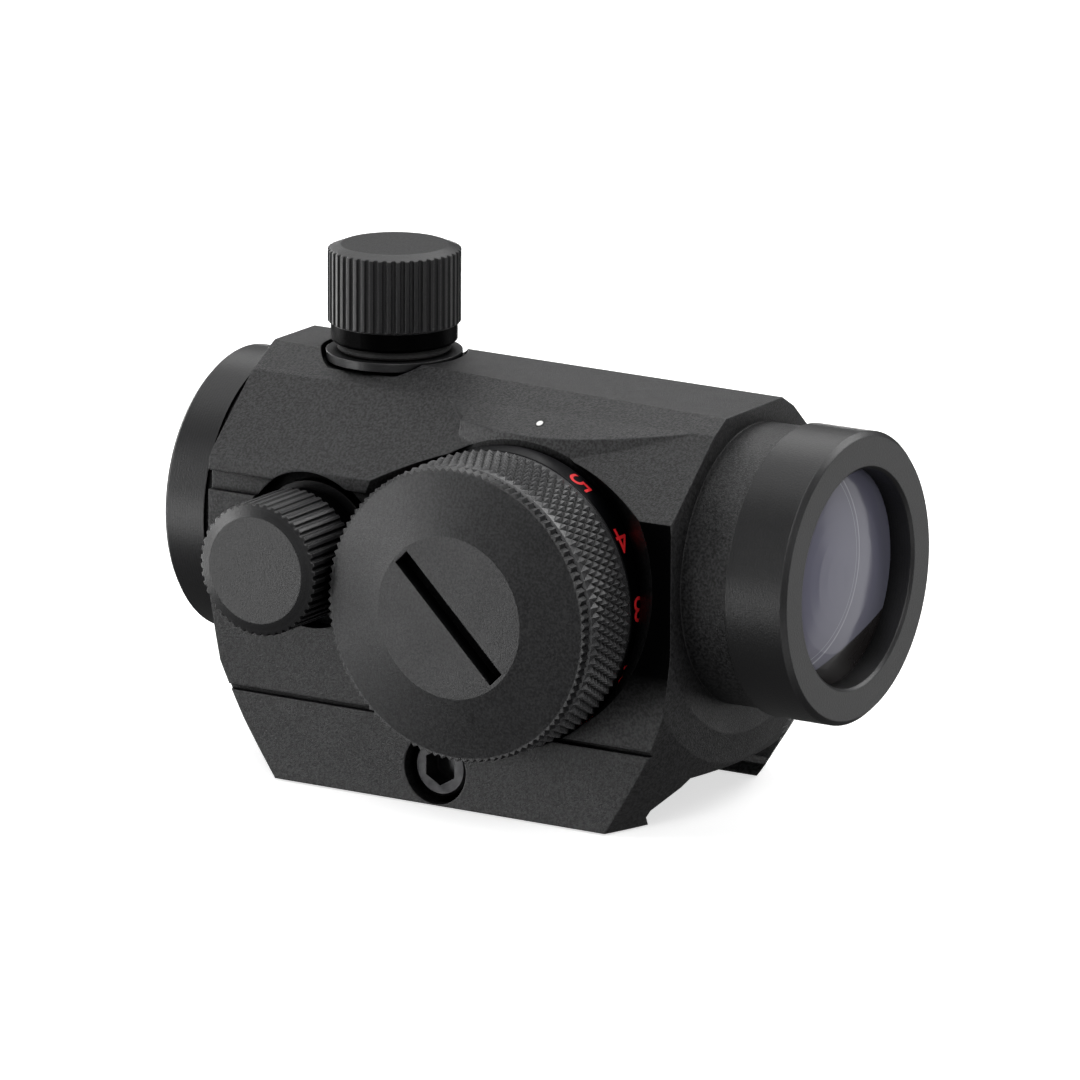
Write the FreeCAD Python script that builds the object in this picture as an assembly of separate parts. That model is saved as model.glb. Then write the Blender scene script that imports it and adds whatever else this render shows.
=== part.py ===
import FreeCAD, Part
import math
import os

from FreeCAD import Vector

# Compact tube-type red dot sight with a clamp base for a 21.2 mm accessory rail.
# X points to the right (the side of the brightness dial), Y forwards along the line of sight, Z up.
# The origin is the middle of the flat that sits on the rail.

# ---------------------------------------------------------------- driving dimensions, millimetres
AXIS_Z = 18.6               # optical axis above the rail seat
HALF_WIDTH = 14.6           # side faces of the housing
FRONT_Y = 19.0              # front face of the housing
REAR_Y = -30.2              # rear face of the housing
BASE_BOTTOM_Z = -4.4        # underside of the rail jaws
THREAD_CLEARANCE = 0.06     # radial, between threads that are left plain
FIT_CLEARANCE = 0.04        # radial, between a seated piece and its bore
POCKET_GAP = 0.35           # free space round a piece in its pocket
EDGE = 0.45                 # small chamfer on turned edges
FINE_EDGE = 0.25            # finer chamfer on small pieces
OVERCUT = 1.0               # how far a cut runs past the face it opens

# outline of the housing; its heights are measured from the optical axis
TOP_REAR_Z = 15.3           # height of the top flat at the rear face
TOP_FRONT_Z = 14.4          # height of the top flat at the front face
RIDGE_X = 7.1               # ridge between the flank and the side panel
RIDGE_Z = 13.2
FLANK_SLOPE = 0.57          # fall of the flank per millimetre outwards
PANEL_FOOT_Z = 6.5          # foot of the sloping side panel
CHANNEL_TOP_Z = 5.25        # shallow channel along the side
CHANNEL_BOTTOM_Z = 3.4
CHANNEL_DEPTH = 0.6
SEAM_Z = -15.2              # fine groove along the base
SEAM_HEIGHT = 0.5
SEAM_DEPTH = 0.5

# turned shape of the end faces
FACE_FLAT_R = 15.6          # radius of the flat middle of an end face
FRONT_SHOULDER_R = 21.2
FRONT_SHOULDER_DROP = 2.2
FRONT_CONE_DROP = 8.0       # drop of the front cone at CONE_R
REAR_SHOULDER_R = 23.0
REAR_SHOULDER_DROP = 3.8
REAR_CONE_DROP = 8.6
CONE_R = 29.0
SHOULDER_SHARE = 0.32       # share of the shoulder drop halfway to the shoulder

# tube, bezels and lenses
NECK_R = 12.9               # front neck
NECK_FRONT_Y = FRONT_Y + 4.9
REAR_NECK_R = NECK_R + 0.05
REAR_NECK_Y = REAR_Y - 1.4
BEZEL_R = NECK_R + 0.5      # objective bezel
BEZEL_FRONT_Y = NECK_FRONT_Y + 6.1
OCULAR_R = NECK_R + 0.4     # ocular bezel
OCULAR_REAR_Y = REAR_NECK_Y - 4.5
SPIGOT_R = NECK_R - 1.4     # threaded spigot of a bezel
SPIGOT_LENGTH = 3.4
LENS_R = SPIGOT_R - 1.1
APERTURE_R = LENS_R - 0.4
RETAINER_R = LENS_R - 0.9   # hole of a lens retainer
RETAINER_LENGTH = 1.6
RETAINER_SLOT = 1.0         # width of the slot across a lens retainer
RETAINER_SLOT_DEPTH = 0.7
BORE_R = LENS_R - 0.5       # clear bore of the housing
LIP_LENGTH = 2.4            # length of the lip in front of the lens
OCULAR_LIP_LENGTH = 1.8
SEAT_WALL = 0.8             # thread end of the objective bezel
LENS_THICKNESS = 3.2
LENS_BULGE = 0.9
LENS_HOLLOW = 0.6
LENS_RIM = 0.5              # flat rim around the domed face
OCULAR_LENS_THICKNESS = 2.0
OCULAR_BULGE = 0.25

# inner tube, emitter and return spring
TUBE_R = BORE_R - 0.8
TUBE_WALL = 0.8
TUBE_FRONT_Y = NECK_FRONT_Y - 6.9
TUBE_REAR_Y = REAR_NECK_Y + 5.6
PIVOT_R = BORE_R - FIT_CLEARANCE
PIVOT_LENGTH = 2.4
PIVOT_SLOPE = 0.8
MOUNT_HALF_WIDTH = 2.2      # block that carries the emitter
MOUNT_START = 3.0           # from the rear end of the tube
MOUNT_LENGTH = 5.0
MOUNT_HEIGHT = 2.6
EMITTER_R = 0.8
EMITTER_HEIGHT = 1.5        # above the wall of the inner tube
EMITTER_DEPTH = 1.2
EMITTER_STAND = 0.4
LEAF_THICKNESS = 0.25
LEAF_HALF_WIDTH = 3.0
LEAF_BUMP_R = 0.3
LEAF_BITE = 0.07             # how far the bead sinks into the leaf
LEAF_SPREAD = 2.6           # opening of the leaf's sector
LEAF_NARROW = 0.9

# brightness dial; x is the distance from the middle plane
DIAL_Y = 0.84
DIAL_Z = AXIS_Z - 2.7
KNURL_R = 13.75
BAND_R = KNURL_R - 0.3      # smooth band that carries the numbers
BAND_WALL = 1.1
RECESS_R = KNURL_R + 0.1    # recess of the housing around the dial
RECESS_FLOOR_X = BORE_R + 0.6
BAND_INNER_X = RECESS_FLOOR_X + 0.7
KNURL_INNER_X = BAND_INNER_X + 2.3
KNURL_OUTER_X = KNURL_INNER_X + 7.0
KNURL_CHAMFER = 0.3
HUB_R = BAND_R - BAND_WALL - POCKET_GAP     # raised round pad of the housing inside the dial
HUB_X = RECESS_FLOOR_X + 1.7
DIAL_WEB_X = HUB_X + 0.6    # web of the dial, inner and outer face
DIAL_WEB_OUTER_X = DIAL_WEB_X + 1.1
DIAL_BORE_R = KNURL_R - 2.05
SPINDLE_R = 2.6
POSITIONS = 13              # click positions round the dial
CLIP_R = 3.7
CLIP_X = BORE_R + 0.8
CLIP_THICKNESS = 0.5
CLIP_GROOVE_R = 2.1
CLIP_OPENING = 0.9          # half width of the clip's opening
CLIP_PLAY = 0.03
SPINDLE_TAIL = 0.6          # spindle past the clip
BOARD_R = HUB_R - 2.4
BOARD_HOLE_R = 5.6
BOARD_THICKNESS = 0.6
DETENT_R = 0.75
DETENT_REACH = HUB_R - 1.2  # distance of the detent from the dial axis
DETENT_SINK = 0.35          # ball centre below the web of the dial
DETENT_CLEARANCE = 0.05
DIMPLE_DEPTH = 0.08         # dimples below the ball's track
DETENT_BORE_X = RECESS_FLOOR_X - 1.9
WIPER_R = 7.2
WIPER_HOLE_R = 5.9
WIPER_THICKNESS = 0.25
WIPER_ARM_R = 9.0
WIPER_ARM_HALF_WIDTH = 0.6

# hood, flare and index dot over the dial
HOOD_SLOPE = 0.5
HOOD_R = KNURL_R + 0.65     # radius of the hood cone at HOOD_X
HOOD_X = 10.3
HOOD_REACH = 0.8            # how far the hood runs outside HOOD_X
HOOD_ROOT = 5.3             # and inside it
HOOD_CONE_SLOPE = 2.6       # growth of the radius per millimetre inwards
HOOD_REAR_Y = -6.2
HOOD_REAR_SLANT = 2.8
HOOD_SLANT_X = 2.0
FLARE_Y = 1.5               # flared mouth of the dial recess
FLARE_Z = AXIS_Z
FLARE_R = 11.0
FLARE_X = 10.67
FLARE_SLOPE = 1.17
INDEX_Y = 1.6
INDEX_X = 8.6
INDEX_R = 0.45
INDEX_SINK = 0.28
INDEX_THICKNESS = 0.3

# battery and its cap
CAP_RIM_R = KNURL_R - 0.2
CAP_RIM_X = KNURL_OUTER_X + 0.25
CAP_RIM_THICKNESS = 0.95
CAP_DISC_X = CAP_RIM_X + 2.15
CAP_DISC_R = CAP_RIM_R - 6.08
CAP_TEETH = 109
CAP_TOOTH_DEPTH = 0.32
CAP_CEILING = 0.6           # inner face of the cap, inside its rim
COIN_SLOT_WIDTH = 1.7
COIN_SLOT_DEPTH = 1.6
COIN_SLOT_LENGTH = 14.2
COIN_SLOT_ANGLE = -45
CAP_SKIRT_X = DIAL_WEB_OUTER_X + 1.0
CAP_SKIRT_WALL = 1.3
CONTACT_THICKNESS = 0.6
CONTACT_STUD_R = 2.4
BATTERY_R = DIAL_BORE_R - 1.7
BATTERY_THICKNESS = 3.2
BATTERY_X = DIAL_WEB_OUTER_X + 1.5
BATTERY_LID_STEP = 1.2
WASHER_LOW_R = 7.0          # domed spring washer over the battery
WASHER_HIGH_R = 3.4
WASHER_WIDTH = 1.0
CAP_SEAL_WIDTH = 1.05

# elevation and windage turrets
TURRET_CAP_R = 6.15
TURRET_CAP_LENGTH = 9.05
TURRET_CAP_WALL = 1.6       # thickness of the cap's top
TURRET_CROWN_WIDTH = 1.2    # shallow cone round the top of a cap
TURRET_CROWN_DROP = 0.45
TURRET_COLLAR_R = TURRET_CAP_R - 0.3
TURRET_COLLAR_LENGTH = 1.8
TURRET_FLUTES = 46
TURRET_FLUTE_R = 0.24
TURRET_GAP = 0.85           # from the lip of the turret base to the cap
TURRET_LIP_R = TURRET_CAP_R + 0.15
TURRET_LIP_THICKNESS = 0.8
TURRET_STEM_R = TURRET_LIP_R - 1.3
TURRET_SPIGOT_R = TURRET_CAP_R - 1.65
TURRET_SPIGOT_LENGTH = 5.4
TURRET_SCREW_R = TURRET_SPIGOT_R - 1.3
TURRET_HEAD_INSET = 0.8     # head of the screw below the end of the spigot
TURRET_TIP_R = 1.5
TURRET_TIP_POINT_R = 0.9
TURRET_SLOT_HALF_WIDTH = 0.5
TURRET_SLOT_DEPTH = 1.0
TURRET_PLAY = 0.05          # between the tip of a screw and the inner tube
TURRET_FLOOR = 0.3          # floor of a turret base above the bore
TURRET_SEAL_R = 0.36
TURRET_POCKET_R = TURRET_LIP_R + 0.45
WINDAGE_RECESS_R = TURRET_LIP_R + 1.0
CAP_SPACING = 0.24          # between the windage cap and the dial
TURRET_Y = DIAL_Y - KNURL_R - TURRET_CAP_R - CAP_SPACING
ELEVATION_TOP_Z = AXIS_Z + 25.0
WINDAGE_TOP_X = 23.6
WINDAGE_Z = AXIS_Z - 0.9

# rail, clamp plate, screw and pins
RAIL_TOP_HALF = 7.84        # half width of the flat top of the rail
RAIL_HALF = 10.6            # half width of the rail where it is widest
RAIL_FLANK = 0.7            # height of the upright flank of the rail
RAIL_CLEARANCE = 0.1
SEAT_HALF = RAIL_TOP_HALF + RAIL_CLEARANCE
PLATE_INNER_X = -(HALF_WIDTH - 3.2)         # face where the clamp plate meets the housing
PLATE_TOP_Z = 3.2
PLATE_STEP_Z = 0.3          # step of the plate beside the rail seat
PLATE_GAP = 0.12
SCREW_Y = -5.7
SCREW_Z = -1.0
SCREW_R = 1.75
SCREW_CLEARANCE = 0.15
SCREW_HEAD_R = 2.75
SCREW_HEAD_LENGTH = 3.0
SCREW_HEAD_INSET = 0.9      # head below the side face
SCREW_BORE_R = 3.3
CROSS_SLOT_HALF = 2.1       # relief across the seat, over the screw
CROSS_SLOT_TOP_Z = 1.2
HEX_ACROSS_FLATS = 3.0
HEX_DEPTH = 2.0
NUT_SIDE = 5.5
NUT_THICKNESS = 2.2
NUT_INSET = 0.2
NUT_CLEARANCE = 0.05
PIN_R = 1.0
PIN_Z = 1.55
PIN_DEPTH = 4.0             # how far the pins are pressed into the housing
PIN_INSET = 0.8             # outer end of a pin below the side face
PIN_CLEARANCE = 0.08
PIN_YS = (-17.0, 6.5)

X_AXIS = Vector(1, 0, 0)
Y_AXIS = Vector(0, 1, 0)
Z_AXIS = Vector(0, 0, 1)
DIAL_CENTRE = (DIAL_Y, DIAL_Z)
WINDAGE_CENTRE = (TURRET_Y, WINDAGE_Z)


# ---------------------------------------------------------------- helpers
def rod_x(radius, x0, x1, centre):
    """A cylinder along X between x0 and x1, round the point (y, z)."""
    return Part.makeCylinder(radius, x1 - x0, Vector(x0, centre[0], centre[1]), X_AXIS)


def rod_y(radius, y0, y1, centre=(0.0, AXIS_Z)):
    """A cylinder along Y between y0 and y1, round the point (x, z)."""
    return Part.makeCylinder(radius, y1 - y0, Vector(centre[0], y0, centre[1]), Y_AXIS)


def rod_z(radius, z0, z1, centre):
    """A cylinder along Z between z0 and z1, round the point (x, y)."""
    return Part.makeCylinder(radius, z1 - z0, Vector(centre[0], centre[1], z0), Z_AXIS)


def block(x0, x1, y0, y1, z0, z1):
    """A box between two corners."""
    return Part.makeBox(x1 - x0, y1 - y0, z1 - z0, Vector(x0, y0, z0))


def prism_y(points, y0, y1):
    """A prism along Y with the section given as (x, z) points."""
    wire = Part.makePolygon([Vector(x, y0, z) for x, z in points + points[:1]])
    return Part.Face(wire).extrude(Vector(0, y1 - y0, 0))


def prism_x(points, x0, x1):
    """A prism along X with the section given as (y, z) points."""
    wire = Part.makePolygon([Vector(x0, y, z) for y, z in points + points[:1]])
    return Part.Face(wire).extrude(Vector(x1 - x0, 0, 0))


def prism_z(points, z0, z1):
    """A prism along Z with the section given as (x, y) points."""
    wire = Part.makePolygon([Vector(x, y, z0) for x, y in points + points[:1]])
    return Part.Face(wire).extrude(Vector(0, 0, z1 - z0))


def turned_y(points):
    """A solid turned about the optical axis from (radius, y) points."""
    wire = Part.makePolygon([Vector(r, y, AXIS_Z) for r, y in points + points[:1]])
    return Part.Face(wire).revolve(Vector(0, 0, AXIS_Z), Y_AXIS, 360)


def turned_x(points, centre):
    """A solid turned about an axis along X through (y, z), from (radius, x) points."""
    wire = Part.makePolygon([Vector(x, centre[0] + r, centre[1]) for r, x in points + points[:1]])
    return Part.Face(wire).revolve(Vector(0, centre[0], centre[1]), X_AXIS, 360)


def turned_z(points, centre):
    """A solid turned about an axis along Z through (x, y), from (radius, z) points."""
    wire = Part.makePolygon([Vector(centre[0] + r, centre[1], z) for r, z in points + points[:1]])
    return Part.Face(wire).revolve(Vector(centre[0], centre[1], 0), Z_AXIS, 360)


def toothed_x(radius, depth, teeth, x0, x1, centre):
    """A disc along X with a rim of triangular teeth."""
    points = []
    for step in range(2 * teeth):
        angle = math.pi * step / teeth
        reach = radius - depth * (step % 2)
        points.append((centre[0] + reach * math.cos(angle), centre[1] + reach * math.sin(angle)))
    return prism_x(points, x0, x1)


def hexagon_x(across_flats, x0, x1, centre):
    """A hexagonal bar along X."""
    corner = across_flats / math.sqrt(3)
    points = []
    for step in range(6):
        angle = math.pi * step / 3 + math.pi / 6
        points.append((centre[0] + corner * math.cos(angle), centre[1] + corner * math.sin(angle)))
    return prism_x(points, x0, x1)


# ---------------------------------------------------------------- housing
def end_profile(side_y, sign, shoulder_r, shoulder_drop, cone_drop):
    """Points of a turned end face, from the axis outwards."""
    middle_r = 0.5 * (FACE_FLAT_R + shoulder_r)
    middle_drop = SHOULDER_SHARE * shoulder_drop
    return [
        (0.0, side_y),
        (FACE_FLAT_R, side_y),
        (middle_r, side_y - sign * middle_drop),
        (shoulder_r, side_y - sign * shoulder_drop),
        (CONE_R, side_y - sign * cone_drop),
    ]


def end_envelope():
    """The turned shape that both end faces of the housing follow."""
    front = end_profile(FRONT_Y, 1, FRONT_SHOULDER_R, FRONT_SHOULDER_DROP, FRONT_CONE_DROP)
    rear = end_profile(REAR_Y, -1, REAR_SHOULDER_R, REAR_SHOULDER_DROP, REAR_CONE_DROP)
    return turned_y(front + rear[::-1])


def top_height(y):
    """Height of the top flat at a place along the housing."""
    share = (y - REAR_Y) / (FRONT_Y - REAR_Y)
    return AXIS_Z + TOP_REAR_Z + share * (TOP_FRONT_Z - TOP_REAR_Z)


def body_section():
    """Outline of the housing across the line of sight, with a roof that runs to a point."""
    apex = AXIS_Z + RIDGE_Z + FLANK_SLOPE * RIDGE_X
    right = [
        (0.0, apex),
        (RIDGE_X, AXIS_Z + RIDGE_Z),
        (HALF_WIDTH, AXIS_Z + PANEL_FOOT_Z),
        (HALF_WIDTH, BASE_BOTTOM_Z),
    ]
    left = [(-x, z) for x, z in right[:0:-1]]
    return right + left


def body_envelope():
    """The outer shape of the housing and its clamp plate together."""
    shape = prism_y(body_section(), REAR_Y - OVERCUT, FRONT_Y + OVERCUT).fuse(hood())
    roof = prism_x(
        [
            (REAR_Y - OVERCUT, top_height(REAR_Y - OVERCUT)),
            (FRONT_Y + OVERCUT, top_height(FRONT_Y + OVERCUT)),
            (FRONT_Y + OVERCUT, BASE_BOTTOM_Z - OVERCUT),
            (REAR_Y - OVERCUT, BASE_BOTTOM_Z - OVERCUT),
        ],
        -HALF_WIDTH - OVERCUT,
        HALF_WIDTH + OVERCUT,
    )
    return shape.common(roof).common(end_envelope())


def rail_section(grow):
    """Half outlines of the rail, widened by a clearance."""
    slope_foot = -(RAIL_HALF - RAIL_TOP_HALF)
    flank_foot = slope_foot - RAIL_FLANK
    low = BASE_BOTTOM_Z - OVERCUT
    neck = RAIL_HALF + (low - flank_foot)
    right = [
        (RAIL_TOP_HALF + grow, 0.0),
        (RAIL_HALF + grow, slope_foot),
        (RAIL_HALF + grow, flank_foot),
        (neck + grow, low),
    ]
    left = [(-x, z) for x, z in right[::-1]]
    return right + left


def rail_channel():
    """The space that the rail takes up, along the whole base."""
    return prism_y(rail_section(RAIL_CLEARANCE), REAR_Y - 2 * OVERCUT, FRONT_Y + 2 * OVERCUT)


def clamp_plate_region(gap):
    """The part of the envelope that belongs to the moving clamp plate."""
    outer = -HALF_WIDTH - OVERCUT
    rear = REAR_Y - OVERCUT
    front = FRONT_Y + OVERCUT
    upper = block(outer, PLATE_INNER_X - gap, rear, front, -OVERCUT, PLATE_TOP_Z - gap)
    step = block(outer, -SEAT_HALF - gap, rear, front, -OVERCUT, PLATE_STEP_Z - gap)
    lower = block(outer, -OVERCUT, rear, front, BASE_BOTTOM_Z - OVERCUT, -gap)
    return upper.fuse(step).fuse(lower)


def hood():
    """The raised hood over the brightness dial."""
    inner_x = HOOD_X - HOOD_ROOT
    outer_x = HOOD_X + HOOD_REACH
    cone = Part.makeCone(
        HOOD_R + HOOD_CONE_SLOPE * (HOOD_X - inner_x),
        HOOD_R - HOOD_CONE_SLOPE * HOOD_REACH,
        outer_x - inner_x,
        Vector(inner_x, DIAL_Y, DIAL_Z),
        X_AXIS,
    )
    ridge = AXIS_Z + RIDGE_Z
    roof = prism_y(
        [
            (0, ridge),
            (RIDGE_X, ridge),
            (outer_x, ridge - HOOD_SLOPE * (outer_x - RIDGE_X)),
            (outer_x, AXIS_Z),
            (0, AXIS_Z),
        ],
        HOOD_REAR_Y - 2 * HOOD_REAR_SLANT,
        FRONT_Y,
    )
    plan = prism_z(
        [
            (0, HOOD_REAR_Y - HOOD_REAR_SLANT),
            (RIDGE_X, HOOD_REAR_Y - HOOD_REAR_SLANT),
            (RIDGE_X + HOOD_SLANT_X, HOOD_REAR_Y),
            (outer_x, HOOD_REAR_Y),
            (outer_x, FRONT_Y),
            (0, FRONT_Y),
        ],
        0,
        2 * AXIS_Z,
    )
    return cone.common(roof).common(plan)


def dial_recess():
    """The recess round the brightness dial, with its flared mouth and the hub left standing."""
    outer = HALF_WIDTH + OVERCUT
    ring = rod_x(RECESS_R, RECESS_FLOOR_X, outer, DIAL_CENTRE)
    ring = ring.cut(rod_x(HUB_R, RECESS_FLOOR_X - OVERCUT, HUB_X, DIAL_CENTRE))
    flare = Part.makeCone(
        FLARE_R,
        FLARE_R + FLARE_SLOPE * (outer - FLARE_X),
        outer - FLARE_X,
        Vector(FLARE_X, FLARE_Y, FLARE_Z),
        X_AXIS,
    )
    flare = flare.cut(rod_x(RECESS_R, RECESS_FLOOR_X, outer, DIAL_CENTRE))
    return ring.fuse(flare)


def side_grooves():
    """The shallow channel and the fine seam along both sides."""
    shapes = []
    for side in (1, -1):
        inner = side * (HALF_WIDTH - CHANNEL_DEPTH)
        outer = side * (HALF_WIDTH + OVERCUT)
        front = DIAL_Y if side > 0 else FRONT_Y + OVERCUT
        low, high = sorted((inner, outer))
        shapes.append(
            block(low, high, REAR_Y - OVERCUT, front, AXIS_Z + CHANNEL_BOTTOM_Z, AXIS_Z + CHANNEL_TOP_Z)
        )
        low, high = sorted((side * (HALF_WIDTH - SEAM_DEPTH), outer))
        seam = AXIS_Z + SEAM_Z
        shapes.append(block(low, high, REAR_Y - OVERCUT, FRONT_Y + OVERCUT, seam, seam + SEAM_HEIGHT))
    return shapes


def elevation_stack():
    """Heights of the elevation turret: lip underside, lip top, cap underside."""
    cap_bottom = ELEVATION_TOP_Z - TURRET_CAP_LENGTH
    lip_top = cap_bottom - TURRET_GAP
    return lip_top - TURRET_LIP_THICKNESS, lip_top, cap_bottom


def windage_stack():
    """Places of the windage turret along X: lip underside, lip top, cap underside."""
    cap_bottom = WINDAGE_TOP_X - TURRET_CAP_LENGTH
    lip_top = cap_bottom - TURRET_GAP
    return lip_top - TURRET_LIP_THICKNESS, lip_top, cap_bottom


def tube_cuts():
    """The bore along the line of sight, and the threads for both bezels."""
    spigot = SPIGOT_R + THREAD_CLEARANCE
    reach = SPIGOT_LENGTH + POCKET_GAP
    return [
        rod_y(BORE_R, REAR_NECK_Y - OVERCUT, NECK_FRONT_Y + OVERCUT),
        rod_y(spigot, NECK_FRONT_Y - reach, NECK_FRONT_Y + OVERCUT),
        rod_y(spigot, REAR_NECK_Y - OVERCUT, REAR_NECK_Y + reach),
    ]


def turret_cuts():
    """The pockets and stem bores of both turrets."""
    stem = TURRET_STEM_R + THREAD_CLEARANCE
    top = (0.0, TURRET_Y)
    upper = elevation_stack()[0] - POCKET_GAP
    outer = windage_stack()[0] - POCKET_GAP
    depth = BORE_R - 2 * OVERCUT
    return [
        rod_z(TURRET_POCKET_R, upper, ELEVATION_TOP_Z, top),
        rod_z(stem, AXIS_Z + depth, ELEVATION_TOP_Z, top),
        rod_x(WINDAGE_RECESS_R, outer, WINDAGE_TOP_X, WINDAGE_CENTRE),
        rod_x(stem, depth, WINDAGE_TOP_X, WINDAGE_CENTRE),
    ]


def dial_cuts():
    """The spindle bore, the clip's pocket, the detent bore and the pocket of the switch board."""
    inner = BORE_R - OVERCUT
    clip_end = CLIP_X + CLIP_THICKNESS + POCKET_GAP
    return [
        rod_x(SPINDLE_R + FIT_CLEARANCE, inner, HUB_X + OVERCUT, DIAL_CENTRE),
        rod_x(CLIP_R + POCKET_GAP, inner, clip_end, DIAL_CENTRE),
        rod_x(DETENT_R + FIT_CLEARANCE, DETENT_BORE_X, HUB_X + OVERCUT, detent_centre()),
        board_ring(FIT_CLEARANCE, HUB_X + OVERCUT),
    ]


def base_cuts():
    """The bores for the clamp screw and the pins, and the relief over the screw."""
    screw = (SCREW_Y, SCREW_Z)
    outer = HALF_WIDTH + OVERCUT
    cuts = [
        rod_x(SCREW_R + SCREW_CLEARANCE, -outer, outer, screw),
        rod_x(SCREW_BORE_R, screw_head_x()[0], outer, screw),
        block(
            -SEAT_HALF,
            SEAT_HALF,
            SCREW_Y - CROSS_SLOT_HALF,
            SCREW_Y + CROSS_SLOT_HALF,
            -OVERCUT,
            CROSS_SLOT_TOP_Z,
        ),
    ]
    for y in PIN_YS:
        cuts.append(rod_x(PIN_R + FIT_CLEARANCE, -HALF_WIDTH, pin_x()[1], (y, PIN_Z)))
    return cuts


def housing():
    """The machined housing, with the fixed rail jaw on the right."""
    shape = body_envelope()
    shape = shape.fuse(rod_y(NECK_R, FRONT_Y - OVERCUT, NECK_FRONT_Y))
    shape = shape.fuse(rod_y(REAR_NECK_R, REAR_NECK_Y, REAR_Y + OVERCUT))
    cuts = [dial_recess(), rail_channel(), clamp_plate_region(0.0)]
    cuts += side_grooves()
    cuts += tube_cuts() + turret_cuts() + dial_cuts() + base_cuts()
    cuts.append(index_dot())
    for tool in cuts:
        shape = shape.cut(tool)
    return shape


# ---------------------------------------------------------------- optics
def bezel_lens_y():
    """Rear and front edge of the objective lens."""
    front = BEZEL_FRONT_Y - LIP_LENGTH
    return front - LENS_THICKNESS, front


def objective_bezel():
    """The ring that holds the objective lens and screws into the front neck."""
    rear = NECK_FRONT_Y - SPIGOT_LENGTH
    seat = LENS_R + FIT_CLEARANCE
    lens_front = bezel_lens_y()[1]
    return turned_y(
        [
            (RETAINER_R, rear),
            (SPIGOT_R, rear),
            (SPIGOT_R, NECK_FRONT_Y),
            (BEZEL_R, NECK_FRONT_Y),
            (BEZEL_R, BEZEL_FRONT_Y - EDGE),
            (BEZEL_R - EDGE, BEZEL_FRONT_Y),
            (APERTURE_R + FINE_EDGE, BEZEL_FRONT_Y),
            (APERTURE_R, BEZEL_FRONT_Y - FINE_EDGE),
            (APERTURE_R, lens_front),
            (seat, lens_front),
            (seat, rear + SEAT_WALL),
            (RETAINER_R, rear + SEAT_WALL),
        ]
    )


def ball_cap(y, rim, bulge):
    """The cap of a ball over a circle at y; it rises by bulge along +Y."""
    ball_r = (rim ** 2 + bulge ** 2) / (2.0 * abs(bulge))
    centre_y = y + bulge - math.copysign(ball_r, bulge)
    ball = Part.makeSphere(ball_r, Vector(0, centre_y, AXIS_Z), Y_AXIS, -90, 90, 360)
    return ball.common(rod_y(rim, min(y, y + bulge), max(y, y + bulge)))


def lens(rear, front, radius, rear_bulge, front_bulge):
    """A lens on the optical axis: domed front, domed or hollow rear, flat rim."""
    rim = radius - LENS_RIM
    solid = rod_y(radius, rear, front).fuse(ball_cap(front, rim, front_bulge))
    rear_cap = ball_cap(rear, rim, -rear_bulge)
    if rear_bulge > 0:
        return solid.fuse(rear_cap)
    return solid.cut(rear_cap)


def objective_lens():
    """The coated objective, hollow towards the eye and domed towards the front."""
    rear, front = bezel_lens_y()
    return lens(rear, front, LENS_R, -LENS_HOLLOW, LENS_BULGE)


def retainer(rear, front, slot_rear, slot_front):
    """A threaded ring between two places along Y, with a slot across it."""
    half = 0.5 * RETAINER_SLOT
    ring = rod_y(LENS_R, rear, front).cut(rod_y(RETAINER_R, rear - OVERCUT, front + OVERCUT))
    return ring.cut(block(-LENS_R, LENS_R, slot_rear, slot_front, AXIS_Z - half, AXIS_Z + half))


def objective_retainer():
    """The slotted ring behind the objective lens."""
    front = bezel_lens_y()[0]
    rear = front - RETAINER_LENGTH
    return retainer(rear, front, rear, rear + RETAINER_SLOT_DEPTH)


def ocular_lens_y():
    """Rear and front edge of the ocular window."""
    rear = OCULAR_REAR_Y + OCULAR_LIP_LENGTH
    return rear, rear + OCULAR_LENS_THICKNESS


def ocular_bezel():
    """The ring that holds the ocular window and screws into the rear neck."""
    front = REAR_NECK_Y + SPIGOT_LENGTH
    seat = LENS_R + FIT_CLEARANCE
    lens_rear = ocular_lens_y()[0]
    return turned_y(
        [
            (APERTURE_R, OCULAR_REAR_Y + FINE_EDGE),
            (APERTURE_R + FINE_EDGE, OCULAR_REAR_Y),
            (OCULAR_R - EDGE, OCULAR_REAR_Y),
            (OCULAR_R, OCULAR_REAR_Y + EDGE),
            (OCULAR_R, REAR_NECK_Y),
            (SPIGOT_R, REAR_NECK_Y),
            (SPIGOT_R, front),
            (seat, front),
            (seat, lens_rear),
            (APERTURE_R, lens_rear),
        ]
    )


def ocular_lens():
    """The clear window at the eye end."""
    rear, front = ocular_lens_y()
    return lens(rear, front, LENS_R, OCULAR_BULGE, OCULAR_BULGE)


def ocular_retainer():
    """The slotted ring in front of the ocular window."""
    rear = ocular_lens_y()[1] + OCULAR_BULGE
    front = rear + RETAINER_LENGTH
    return retainer(rear, front, front - RETAINER_SLOT_DEPTH, front)


def inner_tube():
    """The tube that tilts inside the housing and carries the emitter."""
    inner = TUBE_R - TUBE_WALL
    shape = turned_y(
        [
            (inner, TUBE_REAR_Y),
            (TUBE_R, TUBE_REAR_Y),
            (TUBE_R, TUBE_FRONT_Y - PIVOT_LENGTH),
            (PIVOT_R, TUBE_FRONT_Y - PIVOT_LENGTH + PIVOT_SLOPE),
            (PIVOT_R, TUBE_FRONT_Y - PIVOT_SLOPE),
            (TUBE_R, TUBE_FRONT_Y),
            (inner, TUBE_FRONT_Y),
        ]
    )
    return shape


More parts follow.
